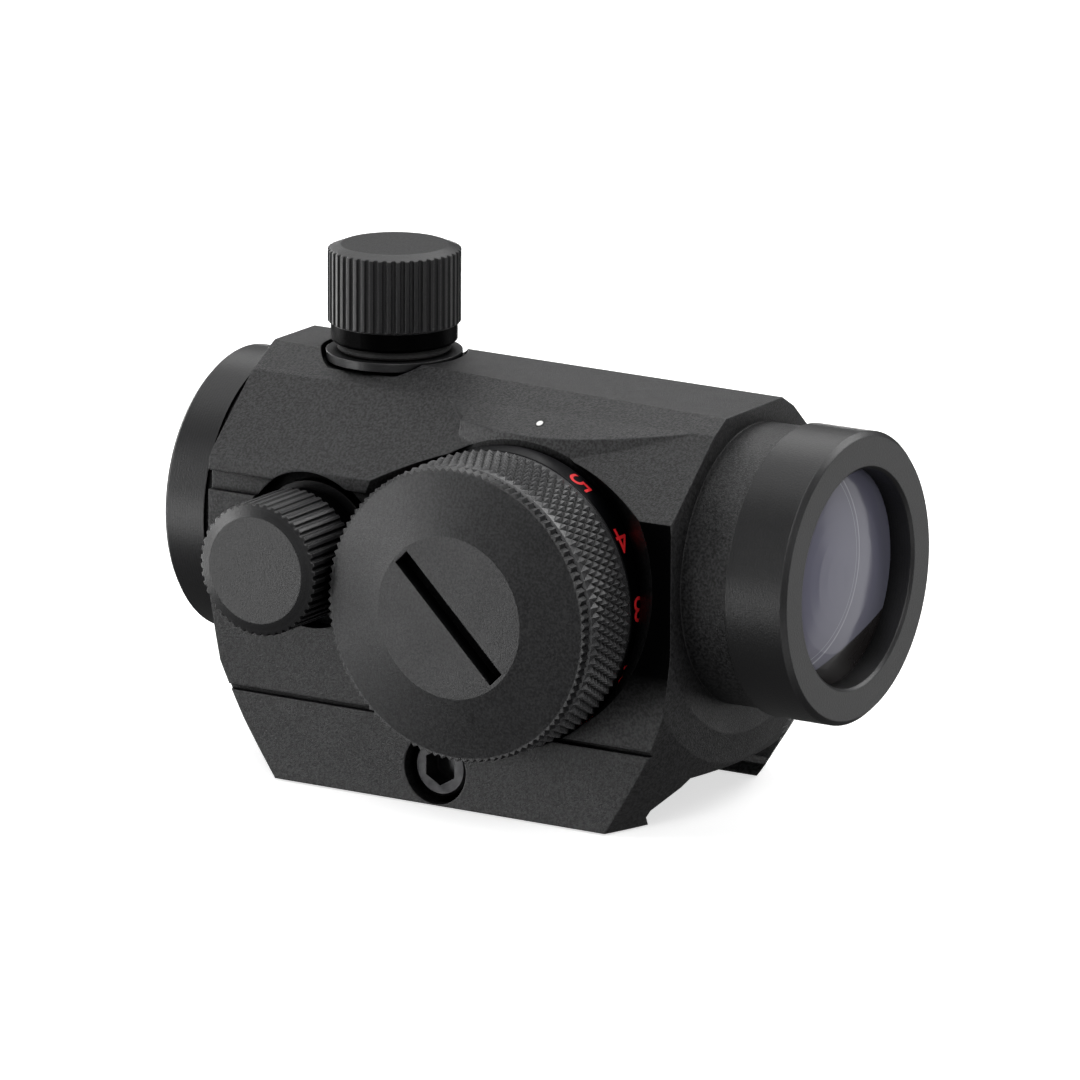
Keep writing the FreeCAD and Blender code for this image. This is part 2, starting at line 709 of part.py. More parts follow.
def emitter_mount():
    """The small block on the wall of the inner tube that aims the emitter at the objective."""
    inner = TUBE_R - TUBE_WALL
    rear = TUBE_REAR_Y + MOUNT_START
    wedge = block(
        -MOUNT_HALF_WIDTH,
        MOUNT_HALF_WIDTH,
        rear,
        rear + MOUNT_LENGTH,
        AXIS_Z - inner - OVERCUT,
        AXIS_Z - inner + MOUNT_HEIGHT,
    )
    wedge = wedge.common(rod_y(inner, TUBE_REAR_Y, rear + MOUNT_LENGTH + OVERCUT))
    return wedge.cut(emitter_seat(FIT_CLEARANCE))


def emitter_seat(grow):
    """The outside of the emitter, in its block."""
    front = TUBE_REAR_Y + MOUNT_START + MOUNT_LENGTH
    height = AXIS_Z - TUBE_R + TUBE_WALL + EMITTER_HEIGHT
    return rod_y(EMITTER_R + grow, front - EMITTER_DEPTH - grow, front + EMITTER_STAND, (0.0, height))


def led_emitter():
    """The red light source."""
    return emitter_seat(0.0)


def return_spring():
    """The leaf spring that pushes the inner tube up against both adjusting screws."""
    rear = TURRET_Y - LEAF_HALF_WIDTH
    front = TURRET_Y + LEAF_HALF_WIDTH
    leaf = rod_y(BORE_R, rear, front).cut(rod_y(BORE_R - LEAF_THICKNESS, rear - OVERCUT, front + OVERCUT))
    sector = prism_y(
        [
            (0.0, AXIS_Z),
            (-LEAF_SPREAD * BORE_R, AXIS_Z - LEAF_NARROW * BORE_R),
            (-LEAF_NARROW * BORE_R, AXIS_Z - LEAF_SPREAD * BORE_R),
        ],
        rear - OVERCUT,
        front + OVERCUT,
    )
    leaf = leaf.common(sector)
    reach = BORE_R - LEAF_THICKNESS - LEAF_BUMP_R + LEAF_BITE
    corner = reach * math.sqrt(0.5)
    return leaf.fuse(rod_y(LEAF_BUMP_R, rear, front, (-corner, AXIS_Z - corner)))


# ---------------------------------------------------------------- turrets
def turret_base_profile(base_low, lip_low, lip_top):
    """Half section of a turret base, as (radius, height) points."""
    hole = TURRET_TIP_R + FIT_CLEARANCE
    bore = TURRET_SCREW_R + FIT_CLEARANCE
    top = lip_top + TURRET_SPIGOT_LENGTH
    return [
        (hole, base_low),
        (TURRET_STEM_R, base_low),
        (TURRET_STEM_R, lip_low),
        (TURRET_LIP_R, lip_low),
        (TURRET_LIP_R, lip_top),
        (TURRET_SPIGOT_R, lip_top),
        (TURRET_SPIGOT_R, top),
        (bore, top),
        (bore, lip_top),
        (hole, lip_top),
    ]


def turret_head(lip_top):
    """Height of the head of an adjusting screw."""
    return lip_top + TURRET_SPIGOT_LENGTH - TURRET_HEAD_INSET


def turret_screw_profile(lip_top, tip):
    """Half section of an adjusting screw, as (radius, height) points."""
    head = turret_head(lip_top)
    point = TURRET_TIP_R - TURRET_TIP_POINT_R
    return [
        (0.0, tip),
        (TURRET_TIP_POINT_R, tip),
        (TURRET_TIP_R, tip + point),
        (TURRET_TIP_R, lip_top + TURRET_PLAY),
        (TURRET_SCREW_R, lip_top + TURRET_PLAY),
        (TURRET_SCREW_R, head),
        (0.0, head),
    ]


def turret_cap_profile(bottom, top):
    """Half section of a turret cap, as (radius, height) points."""
    bore = TURRET_SPIGOT_R + THREAD_CLEARANCE
    shoulder = bottom + TURRET_COLLAR_LENGTH
    ceiling = top - TURRET_CAP_WALL
    return [
        (bore, bottom),
        (TURRET_COLLAR_R - FINE_EDGE, bottom),
        (TURRET_COLLAR_R, bottom + FINE_EDGE),
        (TURRET_COLLAR_R, shoulder),
        (TURRET_CAP_R, shoulder + 0.5 * FINE_EDGE),
        (TURRET_CAP_R, top - TURRET_CROWN_DROP),
        (TURRET_CAP_R - TURRET_CROWN_WIDTH, top),
        (0.0, top),
        (0.0, ceiling),
        (bore, ceiling),
    ]


def seal_profile(height):
    """Half section of a turret seal as an octagon, as (radius, height) points."""
    middle = TURRET_SPIGOT_R + THREAD_CLEARANCE + TURRET_SEAL_R
    points = []
    for step in range(8):
        angle = math.pi * (step + 0.5) / 4
        points.append((middle + TURRET_SEAL_R * math.cos(angle), height + TURRET_SEAL_R * math.sin(angle)))
    return points


def flute_angles():
    """Angles of the flutes round a turret cap."""
    return [2 * math.pi * step / TURRET_FLUTES for step in range(TURRET_FLUTES)]


def elevation_cap():
    """The fluted cap over the elevation screw."""
    bottom = elevation_stack()[2]
    cap = turned_z(turret_cap_profile(bottom, ELEVATION_TOP_Z), (0.0, TURRET_Y))
    flute_start = bottom + TURRET_COLLAR_LENGTH - FINE_EDGE
    tools = []
    for angle in flute_angles():
        centre = (TURRET_CAP_R * math.cos(angle), TURRET_Y + TURRET_CAP_R * math.sin(angle))
        tools.append(rod_z(TURRET_FLUTE_R, flute_start, ELEVATION_TOP_Z, centre))
    return cap.cut(Part.makeCompound(tools))


def windage_cap():
    """The fluted cap over the windage screw, the same piece as the elevation cap."""
    bottom = windage_stack()[2]
    cap = turned_x(turret_cap_profile(bottom, WINDAGE_TOP_X), WINDAGE_CENTRE)
    flute_start = bottom + TURRET_COLLAR_LENGTH - FINE_EDGE
    tools = []
    for angle in flute_angles():
        centre = (TURRET_Y + TURRET_CAP_R * math.cos(angle), WINDAGE_Z + TURRET_CAP_R * math.sin(angle))
        tools.append(rod_x(TURRET_FLUTE_R, flute_start, WINDAGE_TOP_X, centre))
    return cap.cut(Part.makeCompound(tools))


def elevation_base():
    """The threaded insert that the elevation cap screws onto."""
    lip_low, lip_top, _ = elevation_stack()
    return turned_z(turret_base_profile(AXIS_Z + BORE_R + TURRET_FLOOR, lip_low, lip_top), (0.0, TURRET_Y))


def windage_base():
    """The threaded insert that the windage cap screws onto."""
    lip_low, lip_top, _ = windage_stack()
    return turned_x(turret_base_profile(BORE_R + TURRET_FLOOR, lip_low, lip_top), WINDAGE_CENTRE)


def elevation_screw():
    """The slotted screw that moves the dot up and down."""
    lip_top = elevation_stack()[1]
    tip = AXIS_Z + TUBE_R + TURRET_PLAY
    screw = turned_z(turret_screw_profile(lip_top, tip), (0.0, TURRET_Y))
    head = turret_head(lip_top)
    slot = block(
        -TURRET_SCREW_R - OVERCUT,
        TURRET_SCREW_R + OVERCUT,
        TURRET_Y - TURRET_SLOT_HALF_WIDTH,
        TURRET_Y + TURRET_SLOT_HALF_WIDTH,
        head - TURRET_SLOT_DEPTH,
        head + OVERCUT,
    )
    return screw.cut(slot)


def windage_screw():
    """The slotted screw that moves the dot sideways."""
    lip_top = windage_stack()[1]
    tip = TUBE_R + TURRET_PLAY
    screw = turned_x(turret_screw_profile(lip_top, tip), WINDAGE_CENTRE)
    head = turret_head(lip_top)
    slot = block(
        head - TURRET_SLOT_DEPTH,
        head + OVERCUT,
        TURRET_Y - TURRET_SCREW_R - OVERCUT,
        TURRET_Y + TURRET_SCREW_R + OVERCUT,
        WINDAGE_Z - TURRET_SLOT_HALF_WIDTH,
        WINDAGE_Z + TURRET_SLOT_HALF_WIDTH,
    )
    return screw.cut(slot)


def elevation_seal():
    """The seal ring under the elevation cap."""
    lip_top = elevation_stack()[1]
    return turned_z(seal_profile(lip_top + TURRET_SEAL_R), (0.0, TURRET_Y))


def windage_seal():
    """The seal ring under the windage cap."""
    lip_top = windage_stack()[1]
    return turned_x(seal_profile(lip_top + TURRET_SEAL_R), WINDAGE_CENTRE)


# ---------------------------------------------------------------- brightness dial and battery

def detent_centre():
    """Place of the detent ball, as (y, z)."""
    return DIAL_Y, DIAL_Z - DETENT_REACH


def board_ring(grow, top):
    """The outside of the switch board up to a height, widened by a clearance."""
    outer = rod_x(BOARD_R + grow, HUB_X - BOARD_THICKNESS, top, DIAL_CENTRE)
    return outer.cut(rod_x(BOARD_HOLE_R - grow, HUB_X - 2 * BOARD_THICKNESS, top + OVERCUT, DIAL_CENTRE))


def switch_board():
    """The printed board whose tracks set the brightness."""
    return board_ring(0.0, HUB_X)


def brightness_dial():
    """The knurled dial with the smooth band for its numbers and a spindle into the housing."""
    shape = turned_x(
        [
            (0.0, CLIP_X - SPINDLE_TAIL),
            (SPINDLE_R, CLIP_X - SPINDLE_TAIL),
            (SPINDLE_R, DIAL_WEB_X),
            (BAND_R - BAND_WALL, DIAL_WEB_X),
            (BAND_R - BAND_WALL, BAND_INNER_X),
            (BAND_R, BAND_INNER_X),
            (BAND_R, KNURL_INNER_X),
            (KNURL_R, KNURL_INNER_X + KNURL_CHAMFER),
            (KNURL_R, KNURL_OUTER_X - KNURL_CHAMFER),
            (KNURL_R - KNURL_CHAMFER, KNURL_OUTER_X),
            (DIAL_BORE_R, KNURL_OUTER_X),
            (DIAL_BORE_R, DIAL_WEB_OUTER_X),
            (0.0, DIAL_WEB_OUTER_X),
        ],
        DIAL_CENTRE,
    )
    groove = rod_x(SPINDLE_R + OVERCUT, CLIP_X, CLIP_X + CLIP_THICKNESS, DIAL_CENTRE)
    groove = groove.cut(rod_x(CLIP_GROOVE_R, CLIP_X - OVERCUT, CLIP_X + 2 * OVERCUT, DIAL_CENTRE))
    shape = shape.cut(groove)
    track_x = DIAL_WEB_X - DETENT_SINK
    track = DETENT_R + DETENT_CLEARANCE
    shape = shape.cut(Part.makeTorus(DETENT_REACH, track, Vector(track_x, DIAL_Y, DIAL_Z), X_AXIS))
    for step in range(POSITIONS):
        angle = 2 * math.pi * step / POSITIONS - math.pi / 2
        centre = Vector(
            track_x + DIMPLE_DEPTH,
            DIAL_Y + DETENT_REACH * math.cos(angle),
            DIAL_Z + DETENT_REACH * math.sin(angle),
        )
        shape = shape.cut(Part.makeSphere(track, centre))
    return shape


def dial_clip():
    """The E-clip that keeps the dial spindle in the housing."""
    low = CLIP_X - OVERCUT
    high = CLIP_X + 2 * OVERCUT
    ring = rod_x(CLIP_R, CLIP_X + CLIP_PLAY, CLIP_X + CLIP_THICKNESS - CLIP_PLAY, DIAL_CENTRE)
    ring = ring.cut(rod_x(CLIP_GROOVE_R + CLIP_PLAY, low, high, DIAL_CENTRE))
    gap = block(low, high, DIAL_Y - CLIP_OPENING, DIAL_Y + CLIP_OPENING, DIAL_Z - CLIP_R - OVERCUT, DIAL_Z)
    return ring.cut(gap)


def detent_ball():
    """The ball that clicks into the dimples of the dial."""
    y, z = detent_centre()
    return Part.makeSphere(DETENT_R, Vector(DIAL_WEB_X - DETENT_SINK, y, z))


def detent_spring():
    """The spring behind the detent ball, as a plain sleeve."""
    sleeve_r = DETENT_R - DETENT_CLEARANCE
    wall = 4 * DETENT_CLEARANCE
    low = DETENT_BORE_X + DETENT_CLEARANCE
    high = DIAL_WEB_X - DETENT_SINK - math.sqrt(DETENT_R ** 2 - (sleeve_r - wall) ** 2) - DETENT_CLEARANCE
    sleeve = rod_x(sleeve_r, low, high, detent_centre())
    return sleeve.cut(rod_x(sleeve_r - wall, low - OVERCUT, high + OVERCUT, detent_centre()))


def switch_wiper():
    """The sprung contact under the dial that runs on the switch board."""
    inner = DIAL_WEB_X - WIPER_THICKNESS
    shape = rod_x(WIPER_R, inner, DIAL_WEB_X, DIAL_CENTRE)
    shape = shape.cut(rod_x(WIPER_HOLE_R, inner - OVERCUT, DIAL_WEB_X + OVERCUT, DIAL_CENTRE))
    root = 0.5 * (WIPER_R + WIPER_HOLE_R)
    for sign in (1, -1):
        low, high = sorted((DIAL_Y + sign * root, DIAL_Y + sign * WIPER_ARM_R))
        bottom = DIAL_Z - WIPER_ARM_HALF_WIDTH
        arm = block(inner, DIAL_WEB_X, low, high, bottom, bottom + 2 * WIPER_ARM_HALF_WIDTH)
        shape = shape.fuse(arm)
    return shape


def battery():
    """The coin cell, with the step of its lid."""
    return turned_x(
        [
            (0.0, BATTERY_X),
            (BATTERY_R - BATTERY_LID_STEP, BATTERY_X),
            (BATTERY_R - BATTERY_LID_STEP + FINE_EDGE, BATTERY_X + EDGE),
            (BATTERY_R, BATTERY_X + EDGE),
            (BATTERY_R, BATTERY_X + BATTERY_THICKNESS - FINE_EDGE),
            (BATTERY_R - FINE_EDGE, BATTERY_X + BATTERY_THICKNESS),
            (0.0, BATTERY_X + BATTERY_THICKNESS),
        ],
        DIAL_CENTRE,
    )


def contact_disc():
    """The insulated disc with the centre contact at the bottom of the dial."""
    top = DIAL_WEB_OUTER_X + CONTACT_THICKNESS
    base = rod_x(BATTERY_R + CONTACT_THICKNESS, DIAL_WEB_OUTER_X, top, DIAL_CENTRE)
    return base.fuse(rod_x(CONTACT_STUD_R, DIAL_WEB_OUTER_X, BATTERY_X, DIAL_CENTRE))


def battery_spring():
    """The domed spring washer between the cap and the battery."""
    low = BATTERY_X + BATTERY_THICKNESS
    high = cap_ceiling_x()
    return turned_x(
        [
            (WASHER_LOW_R, low),
            (WASHER_LOW_R + WASHER_WIDTH, low),
            (WASHER_HIGH_R + WASHER_WIDTH, high),
            (WASHER_HIGH_R, high),
        ],
        DIAL_CENTRE,
    )


def cap_ceiling_x():
    """Inner face of the battery cap."""
    return CAP_RIM_X - CAP_CEILING


def battery_cap():
    """The coin-slotted battery cap with its toothed rim."""
    skirt_r = DIAL_BORE_R - THREAD_CLEARANCE
    rim_top = CAP_RIM_X + CAP_RIM_THICKNESS
    rim = toothed_x(CAP_RIM_R, CAP_TOOTH_DEPTH, CAP_TEETH, CAP_RIM_X, rim_top, DIAL_CENTRE)
    rim_body = CAP_RIM_R - CAP_TOOTH_DEPTH - THREAD_CLEARANCE
    core = turned_x(
        [
            (0.0, cap_ceiling_x()),
            (skirt_r - CAP_SKIRT_WALL, cap_ceiling_x()),
            (skirt_r - CAP_SKIRT_WALL, CAP_SKIRT_X),
            (skirt_r, CAP_SKIRT_X),
            (skirt_r, CAP_RIM_X),
            (rim_body, CAP_RIM_X),
            (rim_body, rim_top),
            (CAP_DISC_R, CAP_DISC_X),
            (0.0, CAP_DISC_X),
        ],
        DIAL_CENTRE,
    )
    slot = block(
        CAP_DISC_X - COIN_SLOT_DEPTH,
        CAP_DISC_X + OVERCUT,
        DIAL_Y - 0.5 * COIN_SLOT_LENGTH,
        DIAL_Y + 0.5 * COIN_SLOT_LENGTH,
        DIAL_Z - 0.5 * COIN_SLOT_WIDTH,
        DIAL_Z + 0.5 * COIN_SLOT_WIDTH,
    )
    slot.rotate(Vector(0, DIAL_Y, DIAL_Z), X_AXIS, COIN_SLOT_ANGLE)
    return core.fuse(rim).cut(slot)


def battery_cap_seal():
    """The flat seal between the battery cap and the dial."""
    return turned_x(
        [
            (DIAL_BORE_R, KNURL_OUTER_X),
            (DIAL_BORE_R + CAP_SEAL_WIDTH, KNURL_OUTER_X),
            (DIAL_BORE_R + CAP_SEAL_WIDTH, CAP_RIM_X),
            (DIAL_BORE_R, CAP_RIM_X),
        ],
        DIAL_CENTRE,
    )


def index_dot():
    """The painted index dot in the hood."""
    z = AXIS_Z + RIDGE_Z - HOOD_SLOPE * (INDEX_X - RIDGE_X)
    length = math.hypot(1, HOOD_SLOPE)
    outward = Vector(HOOD_SLOPE / length, 0, 1 / length)
    foot = Vector(INDEX_X, INDEX_Y, z) - outward * INDEX_SINK
    return Part.makeCylinder(INDEX_R, INDEX_THICKNESS, foot, outward)


# ---------------------------------------------------------------- rail clamp
def screw_head_x():
    """Inner and outer face of the head of the clamp screw."""
    outer = HALF_WIDTH - SCREW_HEAD_INSET
    return outer - SCREW_HEAD_LENGTH, outer


def pin_x():
    """Outer and inner end of the guide pins."""
    return -HALF_WIDTH + PIN_INSET, PLATE_INNER_X + PIN_DEPTH


def clamp_plate():
    """The moving jaw on the left of the rail."""
    shape = body_envelope().common(clamp_plate_region(PLATE_GAP))
    shape = shape.cut(rail_channel())
    screw = (SCREW_Y, SCREW_Z)
    outer = -HALF_WIDTH - OVERCUT
    shape = shape.cut(rod_x(SCREW_R + SCREW_CLEARANCE, outer, 0, screw))
    shape = shape.cut(clamp_nut_block(NUT_CLEARANCE, outer))
    for y in PIN_YS:
        shape = shape.cut(rod_x(PIN_R + PIN_CLEARANCE, outer, 0, (y, PIN_Z)))
    return shape


def clamp_nut_block(grow, outer):
    """The outside of the square nut from an outer face inwards, widened by a clearance."""
    half = 0.5 * NUT_SIDE + grow
    inner = -HALF_WIDTH + NUT_INSET + NUT_THICKNESS
    return block(outer, inner, SCREW_Y - half, SCREW_Y + half, SCREW_Z - half, SCREW_Z + half)


def clamp_nut():
    """The square nut that the clamp screw pulls on."""
    nut = clamp_nut_block(0.0, -HALF_WIDTH + NUT_INSET)
    return nut.cut(rod_x(SCREW_R + THREAD_CLEARANCE, -HALF_WIDTH - OVERCUT, 0, (SCREW_Y, SCREW_Z)))


def clamp_screw():
    """The socket-head screw across the base."""
    centre = (SCREW_Y, SCREW_Z)
    inner, outer = screw_head_x()
    shape = rod_x(SCREW_R, -HALF_WIDTH + 0.5 * NUT_INSET, inner + EDGE, centre)
    head = turned_x(
        [
            (0.0, inner),
            (SCREW_HEAD_R, inner),
            (SCREW_HEAD_R, outer - FINE_EDGE),
            (SCREW_HEAD_R - FINE_EDGE, outer),
            (0.0, outer),
        ],
        centre,
    )
    shape = shape.fuse(head)
    return shape.cut(hexagon_x(HEX_ACROSS_FLATS, outer - HEX_DEPTH, outer + OVERCUT, centre))


def guide_pins():
    """The two pins that keep the clamp plate square."""
    outer, inner = pin_x()
    return Part.makeCompound([rod_x(PIN_R, outer, inner, (y, PIN_Z)) for y in PIN_YS])


NODES = {
    "housing": housing,
    "objective_bezel": objective_bezel,
    "objective_lens": objective_lens,
    "objective_retainer": objective_retainer,
    "ocular_bezel": ocular_bezel,
    "ocular_lens": ocular_lens,
    "ocular_retainer": ocular_retainer,
    "inner_tube": inner_tube,
    "emitter_mount": emitter_mount,
    "led_emitter": led_emitter,
    "return_spring": return_spring,
    "elevation_base": elevation_base,
    "elevation_screw": elevation_screw,
    "elevation_seal": elevation_seal,
    "elevation_cap": elevation_cap,
    "windage_base": windage_base,
    "windage_screw": windage_screw,
    "windage_seal": windage_seal,
    "windage_cap": windage_cap,
    "brightness_dial": brightness_dial,
    "dial_clip": dial_clip,
    "detent_ball": detent_ball,
    "detent_spring": detent_spring,
    "switch_board": switch_board,
    "switch_wiper": switch_wiper,
    "contact_disc": contact_disc,
    "battery": battery,
    "battery_spring": battery_spring,
    "battery_cap": battery_cap,
    "battery_cap_seal": battery_cap_seal,
    "index_dot": index_dot,
    "clamp_plate": clamp_plate,
    "clamp_screw": clamp_screw,
    "clamp_nut": clamp_nut,
    "guide_pins": guide_pins,
}


def main():
    """Build every piece and write it to its own file."""
    os.makedirs("parts", exist_ok=True)
    for name, build in NODES.items():
        shape = build().removeSplitter()
        if not shape.isValid() or shape.Volume <= 0:
            raise ValueError(name + " is not a valid solid")
        shape.exportStep(os.path.join("parts", name + ".step"))
        print(name, len(shape.Solids), round(shape.Volume, 2))


main()
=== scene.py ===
"""Visual model of a compact red dot finder on a clamp base.

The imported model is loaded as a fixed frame. Every carried-over piece gets a finish, and the
brightness dial, which needs finer detail, is modelled anew and rides on the same body.
Lengths are metres unless a docstring says millimetres. X points to the dial side, Y forwards, Z up.
"""

from __future__ import annotations

import logging
import math
from dataclasses import dataclass
from enum import Enum

import bmesh
import bpy
from mathutils import Matrix, Vector

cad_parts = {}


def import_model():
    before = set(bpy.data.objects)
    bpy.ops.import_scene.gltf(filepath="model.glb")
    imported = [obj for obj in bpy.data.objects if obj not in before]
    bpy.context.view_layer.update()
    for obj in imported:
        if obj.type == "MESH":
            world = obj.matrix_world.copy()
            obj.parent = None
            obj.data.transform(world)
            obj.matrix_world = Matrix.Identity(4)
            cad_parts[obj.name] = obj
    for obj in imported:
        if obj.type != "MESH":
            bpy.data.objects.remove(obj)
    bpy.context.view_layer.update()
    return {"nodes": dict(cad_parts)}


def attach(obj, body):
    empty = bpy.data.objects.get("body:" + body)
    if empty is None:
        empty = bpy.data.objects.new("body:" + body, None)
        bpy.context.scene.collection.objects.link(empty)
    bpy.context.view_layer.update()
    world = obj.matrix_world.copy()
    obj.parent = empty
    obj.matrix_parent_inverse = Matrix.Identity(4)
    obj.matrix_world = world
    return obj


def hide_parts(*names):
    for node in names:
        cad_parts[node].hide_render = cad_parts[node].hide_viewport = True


LOG = logging.getLogger("red_dot_finder")
MM = 0.001
Colour = tuple[float, float, float]
OPTICAL_AXIS = (0.0, 0.0, 18.6 * MM)
ELEVATION_AXIS = (0.0, -19.3 * MM, 0.0)
WINDAGE_AXIS = (0.0, -19.3 * MM, 17.7 * MM)
DIAL_AXIS = (0.0, 0.84 * MM, 15.9 * MM)
SCREW_AXIS = (0.0, -5.7 * MM, -1.0 * MM)


class Axis(Enum):
    """The direction of a turned piece's axis."""

    X = "X"
    Y = "Y"
    Z = "Z"


# ---------------------------------------------------------------- node work
WAVE_SCALE = 0.314  # scale of a wave texture times the spacing of its rings
NOISE_SPAN = (0.3, 0.7)  # where the values of a noise lie
EDGE_SPAN = (0.995, 0.85)  # agreement of rounded and plain direction, off an edge and on it


class NodeSheet:
    """The node tree of one material, with short calls to add and join nodes."""

    def __init__(self, name: str) -> None:
        """Starts a material with a Principled shader.

        Args:
            name: The name of the material.
        """
        self.material = bpy.data.materials.new(name)
        self.material.use_nodes = True
        self.tree = self.material.node_tree
        self.shader = self.tree.nodes["Principled BSDF"]
        self.place = self.add("ShaderNodeTexCoord").outputs["Object"]

    def add(self, kind: str, **settings: object) -> bpy.types.Node:
        """Adds a node.

        Args:
            kind: The node's type name.
            settings: Properties of the node.

        Returns:
            The new node.
        """
        node = self.tree.nodes.new(kind)
        for key, value in settings.items():
            setattr(node, key, value)
        return node

    def join(self, source: bpy.types.NodeSocket, target: bpy.types.NodeSocket) -> None:
        """Links an output to an input."""
        self.tree.links.new(source, target)

    def centred(self, centre: tuple[float, float, float]) -> bpy.types.NodeSocket:
        """Object coordinates measured from a point.

        Args:
            centre: The point, in metres.

        Returns:
            The vector output.
        """
        node = self.add("ShaderNodeMapping")
        node.vector_type = "POINT"
        node.inputs["Location"].default_value = tuple(-c for c in centre)
        self.join(self.place, node.inputs["Vector"])
        return node.outputs["Vector"]

    def noise(self, scale: float, detail: float, roughness: float = 0.5,
              stretch: tuple[float, float, float] = (1.0, 1.0, 1.0)) -> bpy.types.NodeSocket:
        """A noise over the object.

        Args:
            scale: Features per metre.
            detail: Octaves.
            roughness: Weight of the finer octaves.
            stretch: Factors along the three axes.

        Returns:
            The noise factor output.
        """
        place = self.add("ShaderNodeMapping")
        place.inputs["Scale"].default_value = stretch
        self.join(self.place, place.inputs["Vector"])
        node = self.add("ShaderNodeTexNoise")
        node.inputs["Scale"].default_value = scale
        node.inputs["Detail"].default_value = detail
        node.inputs["Roughness"].default_value = roughness
        self.join(place.outputs["Vector"], node.inputs["Vector"])
        return node.outputs["Fac"]

    def ramp(self, factor: bpy.types.NodeSocket, stops: list[tuple[float, Colour]]) -> bpy.types.NodeSocket:
        """A colour ramp.

        Args:
            factor: The input.
            stops: Position and colour of each stop.

        Returns:
            The colour output.
        """
        node = self.add("ShaderNodeValToRGB")
        elements = node.color_ramp.elements
        while len(elements) < len(stops):
            elements.new(0.5)
        for element, (position, colour) in zip(elements, stops):
            element.position = position
            element.color = (*colour, 1.0)
        self.join(factor, node.inputs["Fac"])
        return node.outputs["Color"]

    def spread(self, factor: bpy.types.NodeSocket, low: float, high: float) -> bpy.types.NodeSocket:
        """Maps a factor from 0.3-0.7 to a range.

        Args:
            factor: The input.
            low: The value at 0.3.
            high: The value at 0.7.

        Returns:
            The mapped output.
        """
        node = self.add("ShaderNodeMapRange")
        node.inputs["From Min"].default_value, node.inputs["From Max"].default_value = NOISE_SPAN
        node.inputs["To Min"].default_value = low
        node.inputs["To Max"].default_value = high
        self.join(factor, node.inputs["Value"])
        return node.outputs["Result"]

    def rings(self, centre: tuple[float, float, float], axis: Axis, pitch: float) -> bpy.types.NodeSocket:
        """Fine turning marks: circles on faces across the axis, lines round the barrels.

        Args:
            centre: A point on the axis.
            axis: The direction of the axis.
            pitch: Spacing of the marks.

        Returns:
            The factor output.
        """
        place = self.centred(centre)
        outputs = []
        for kind, attribute in (("RINGS", "rings_direction"), ("BANDS", "bands_direction")):
            wave = self.add("ShaderNodeTexWave", wave_type=kind, wave_profile="SIN")
            setattr(wave, attribute, axis.value)
            wave.inputs["Scale"].default_value = WAVE_SCALE / pitch
            wave.inputs["Distortion"].default_value = 0.0
            self.join(place, wave.inputs["Vector"])
            outputs.append(wave.outputs["Fac"])
        return self.product(outputs[0], outputs[1])

    def soft_edges(self, radius: float) -> bpy.types.NodeSocket:
        """Surface directions that round off sharp edges.

        Args:
            radius: Radius of the rounding.

        Returns:
            The normal output.
        """
        node = self.add("ShaderNodeBevel", samples=4)
        node.inputs["Radius"].default_value = radius
        return node.outputs["Normal"]

    def openness(self, reach: float, low: float, high: float) -> bpy.types.NodeSocket:
        """A factor that falls to 0 in deep corners and is 1 on open faces; the finishes use it to paint
        shade into corners.

        Args:
            reach: How far the surroundings count, in metres.
            low: Openness that gives 0.
            high: Openness that gives 1.

        Returns:
            The factor output.
        """
        node = self.add("ShaderNodeAmbientOcclusion", samples=8)
        node.inputs["Distance"].default_value = reach
        return self.ramp_between(node.outputs["AO"], low, high)

    def ramp_between(self, factor: bpy.types.NodeSocket, low: float, high: float) -> bpy.types.NodeSocket:
        """A factor that climbs from 0 at one value to 1 at another.

        Args:
            factor: The input.
            low: The value that gives 0.
            high: The value that gives 1.

        Returns:
            The factor output.
        """
        node = self.add("ShaderNodeMapRange")
        node.inputs["From Min"].default_value = low
        node.inputs["From Max"].default_value = high
        self.join(factor, node.inputs["Value"])
        return node.outputs["Result"]

    def outside(self, mask: bpy.types.NodeSocket, factor: bpy.types.NodeSocket) -> bpy.types.NodeSocket:
        """A factor that is kept outside a mask and 0 inside it.

        Args:
            mask: 1 inside.
            factor: The factor to keep.

        Returns:
            The factor output.
        """
        inverse = self.add("ShaderNodeMath", operation="SUBTRACT")
        inverse.inputs[0].default_value = 1.0
        self.join(mask, inverse.inputs[1])
        return self.product(inverse.outputs["Value"], factor)

    def level(self, factor: bpy.types.NodeSocket, low: float, high: float) -> bpy.types.NodeSocket:
        """Maps a factor from 0-1 to a range.

        Args:
            factor: The input.
            low: The value at 0.
            high: The value at 1.

        Returns:
            The mapped output.
        """
        node = self.add("ShaderNodeMapRange")
        node.inputs["To Min"].default_value = low
        node.inputs["To Max"].default_value = high
        self.join(factor, node.inputs["Value"])
        return node.outputs["Result"]

    def distance(self, centre: tuple[float, float, float], axis: Axis) -> bpy.types.NodeSocket:
        """Distance from a line along an axis, in metres.

        Args:
            centre: A point on the line.
            axis: The direction of the line.

        Returns:
            The distance output.
        """
        flat = self.add("ShaderNodeMapping")
        scale = [0.0 if axis.value == name else 1.0 for name in "XYZ"]
        flat.inputs["Location"].default_value = tuple(-c * k for c, k in zip(centre, scale))
        flat.inputs["Scale"].default_value = scale
        self.join(self.place, flat.inputs["Vector"])
        node = self.add("ShaderNodeVectorMath", operation="LENGTH")
        self.join(flat.outputs["Vector"], node.inputs[0])
        return node.outputs["Value"]

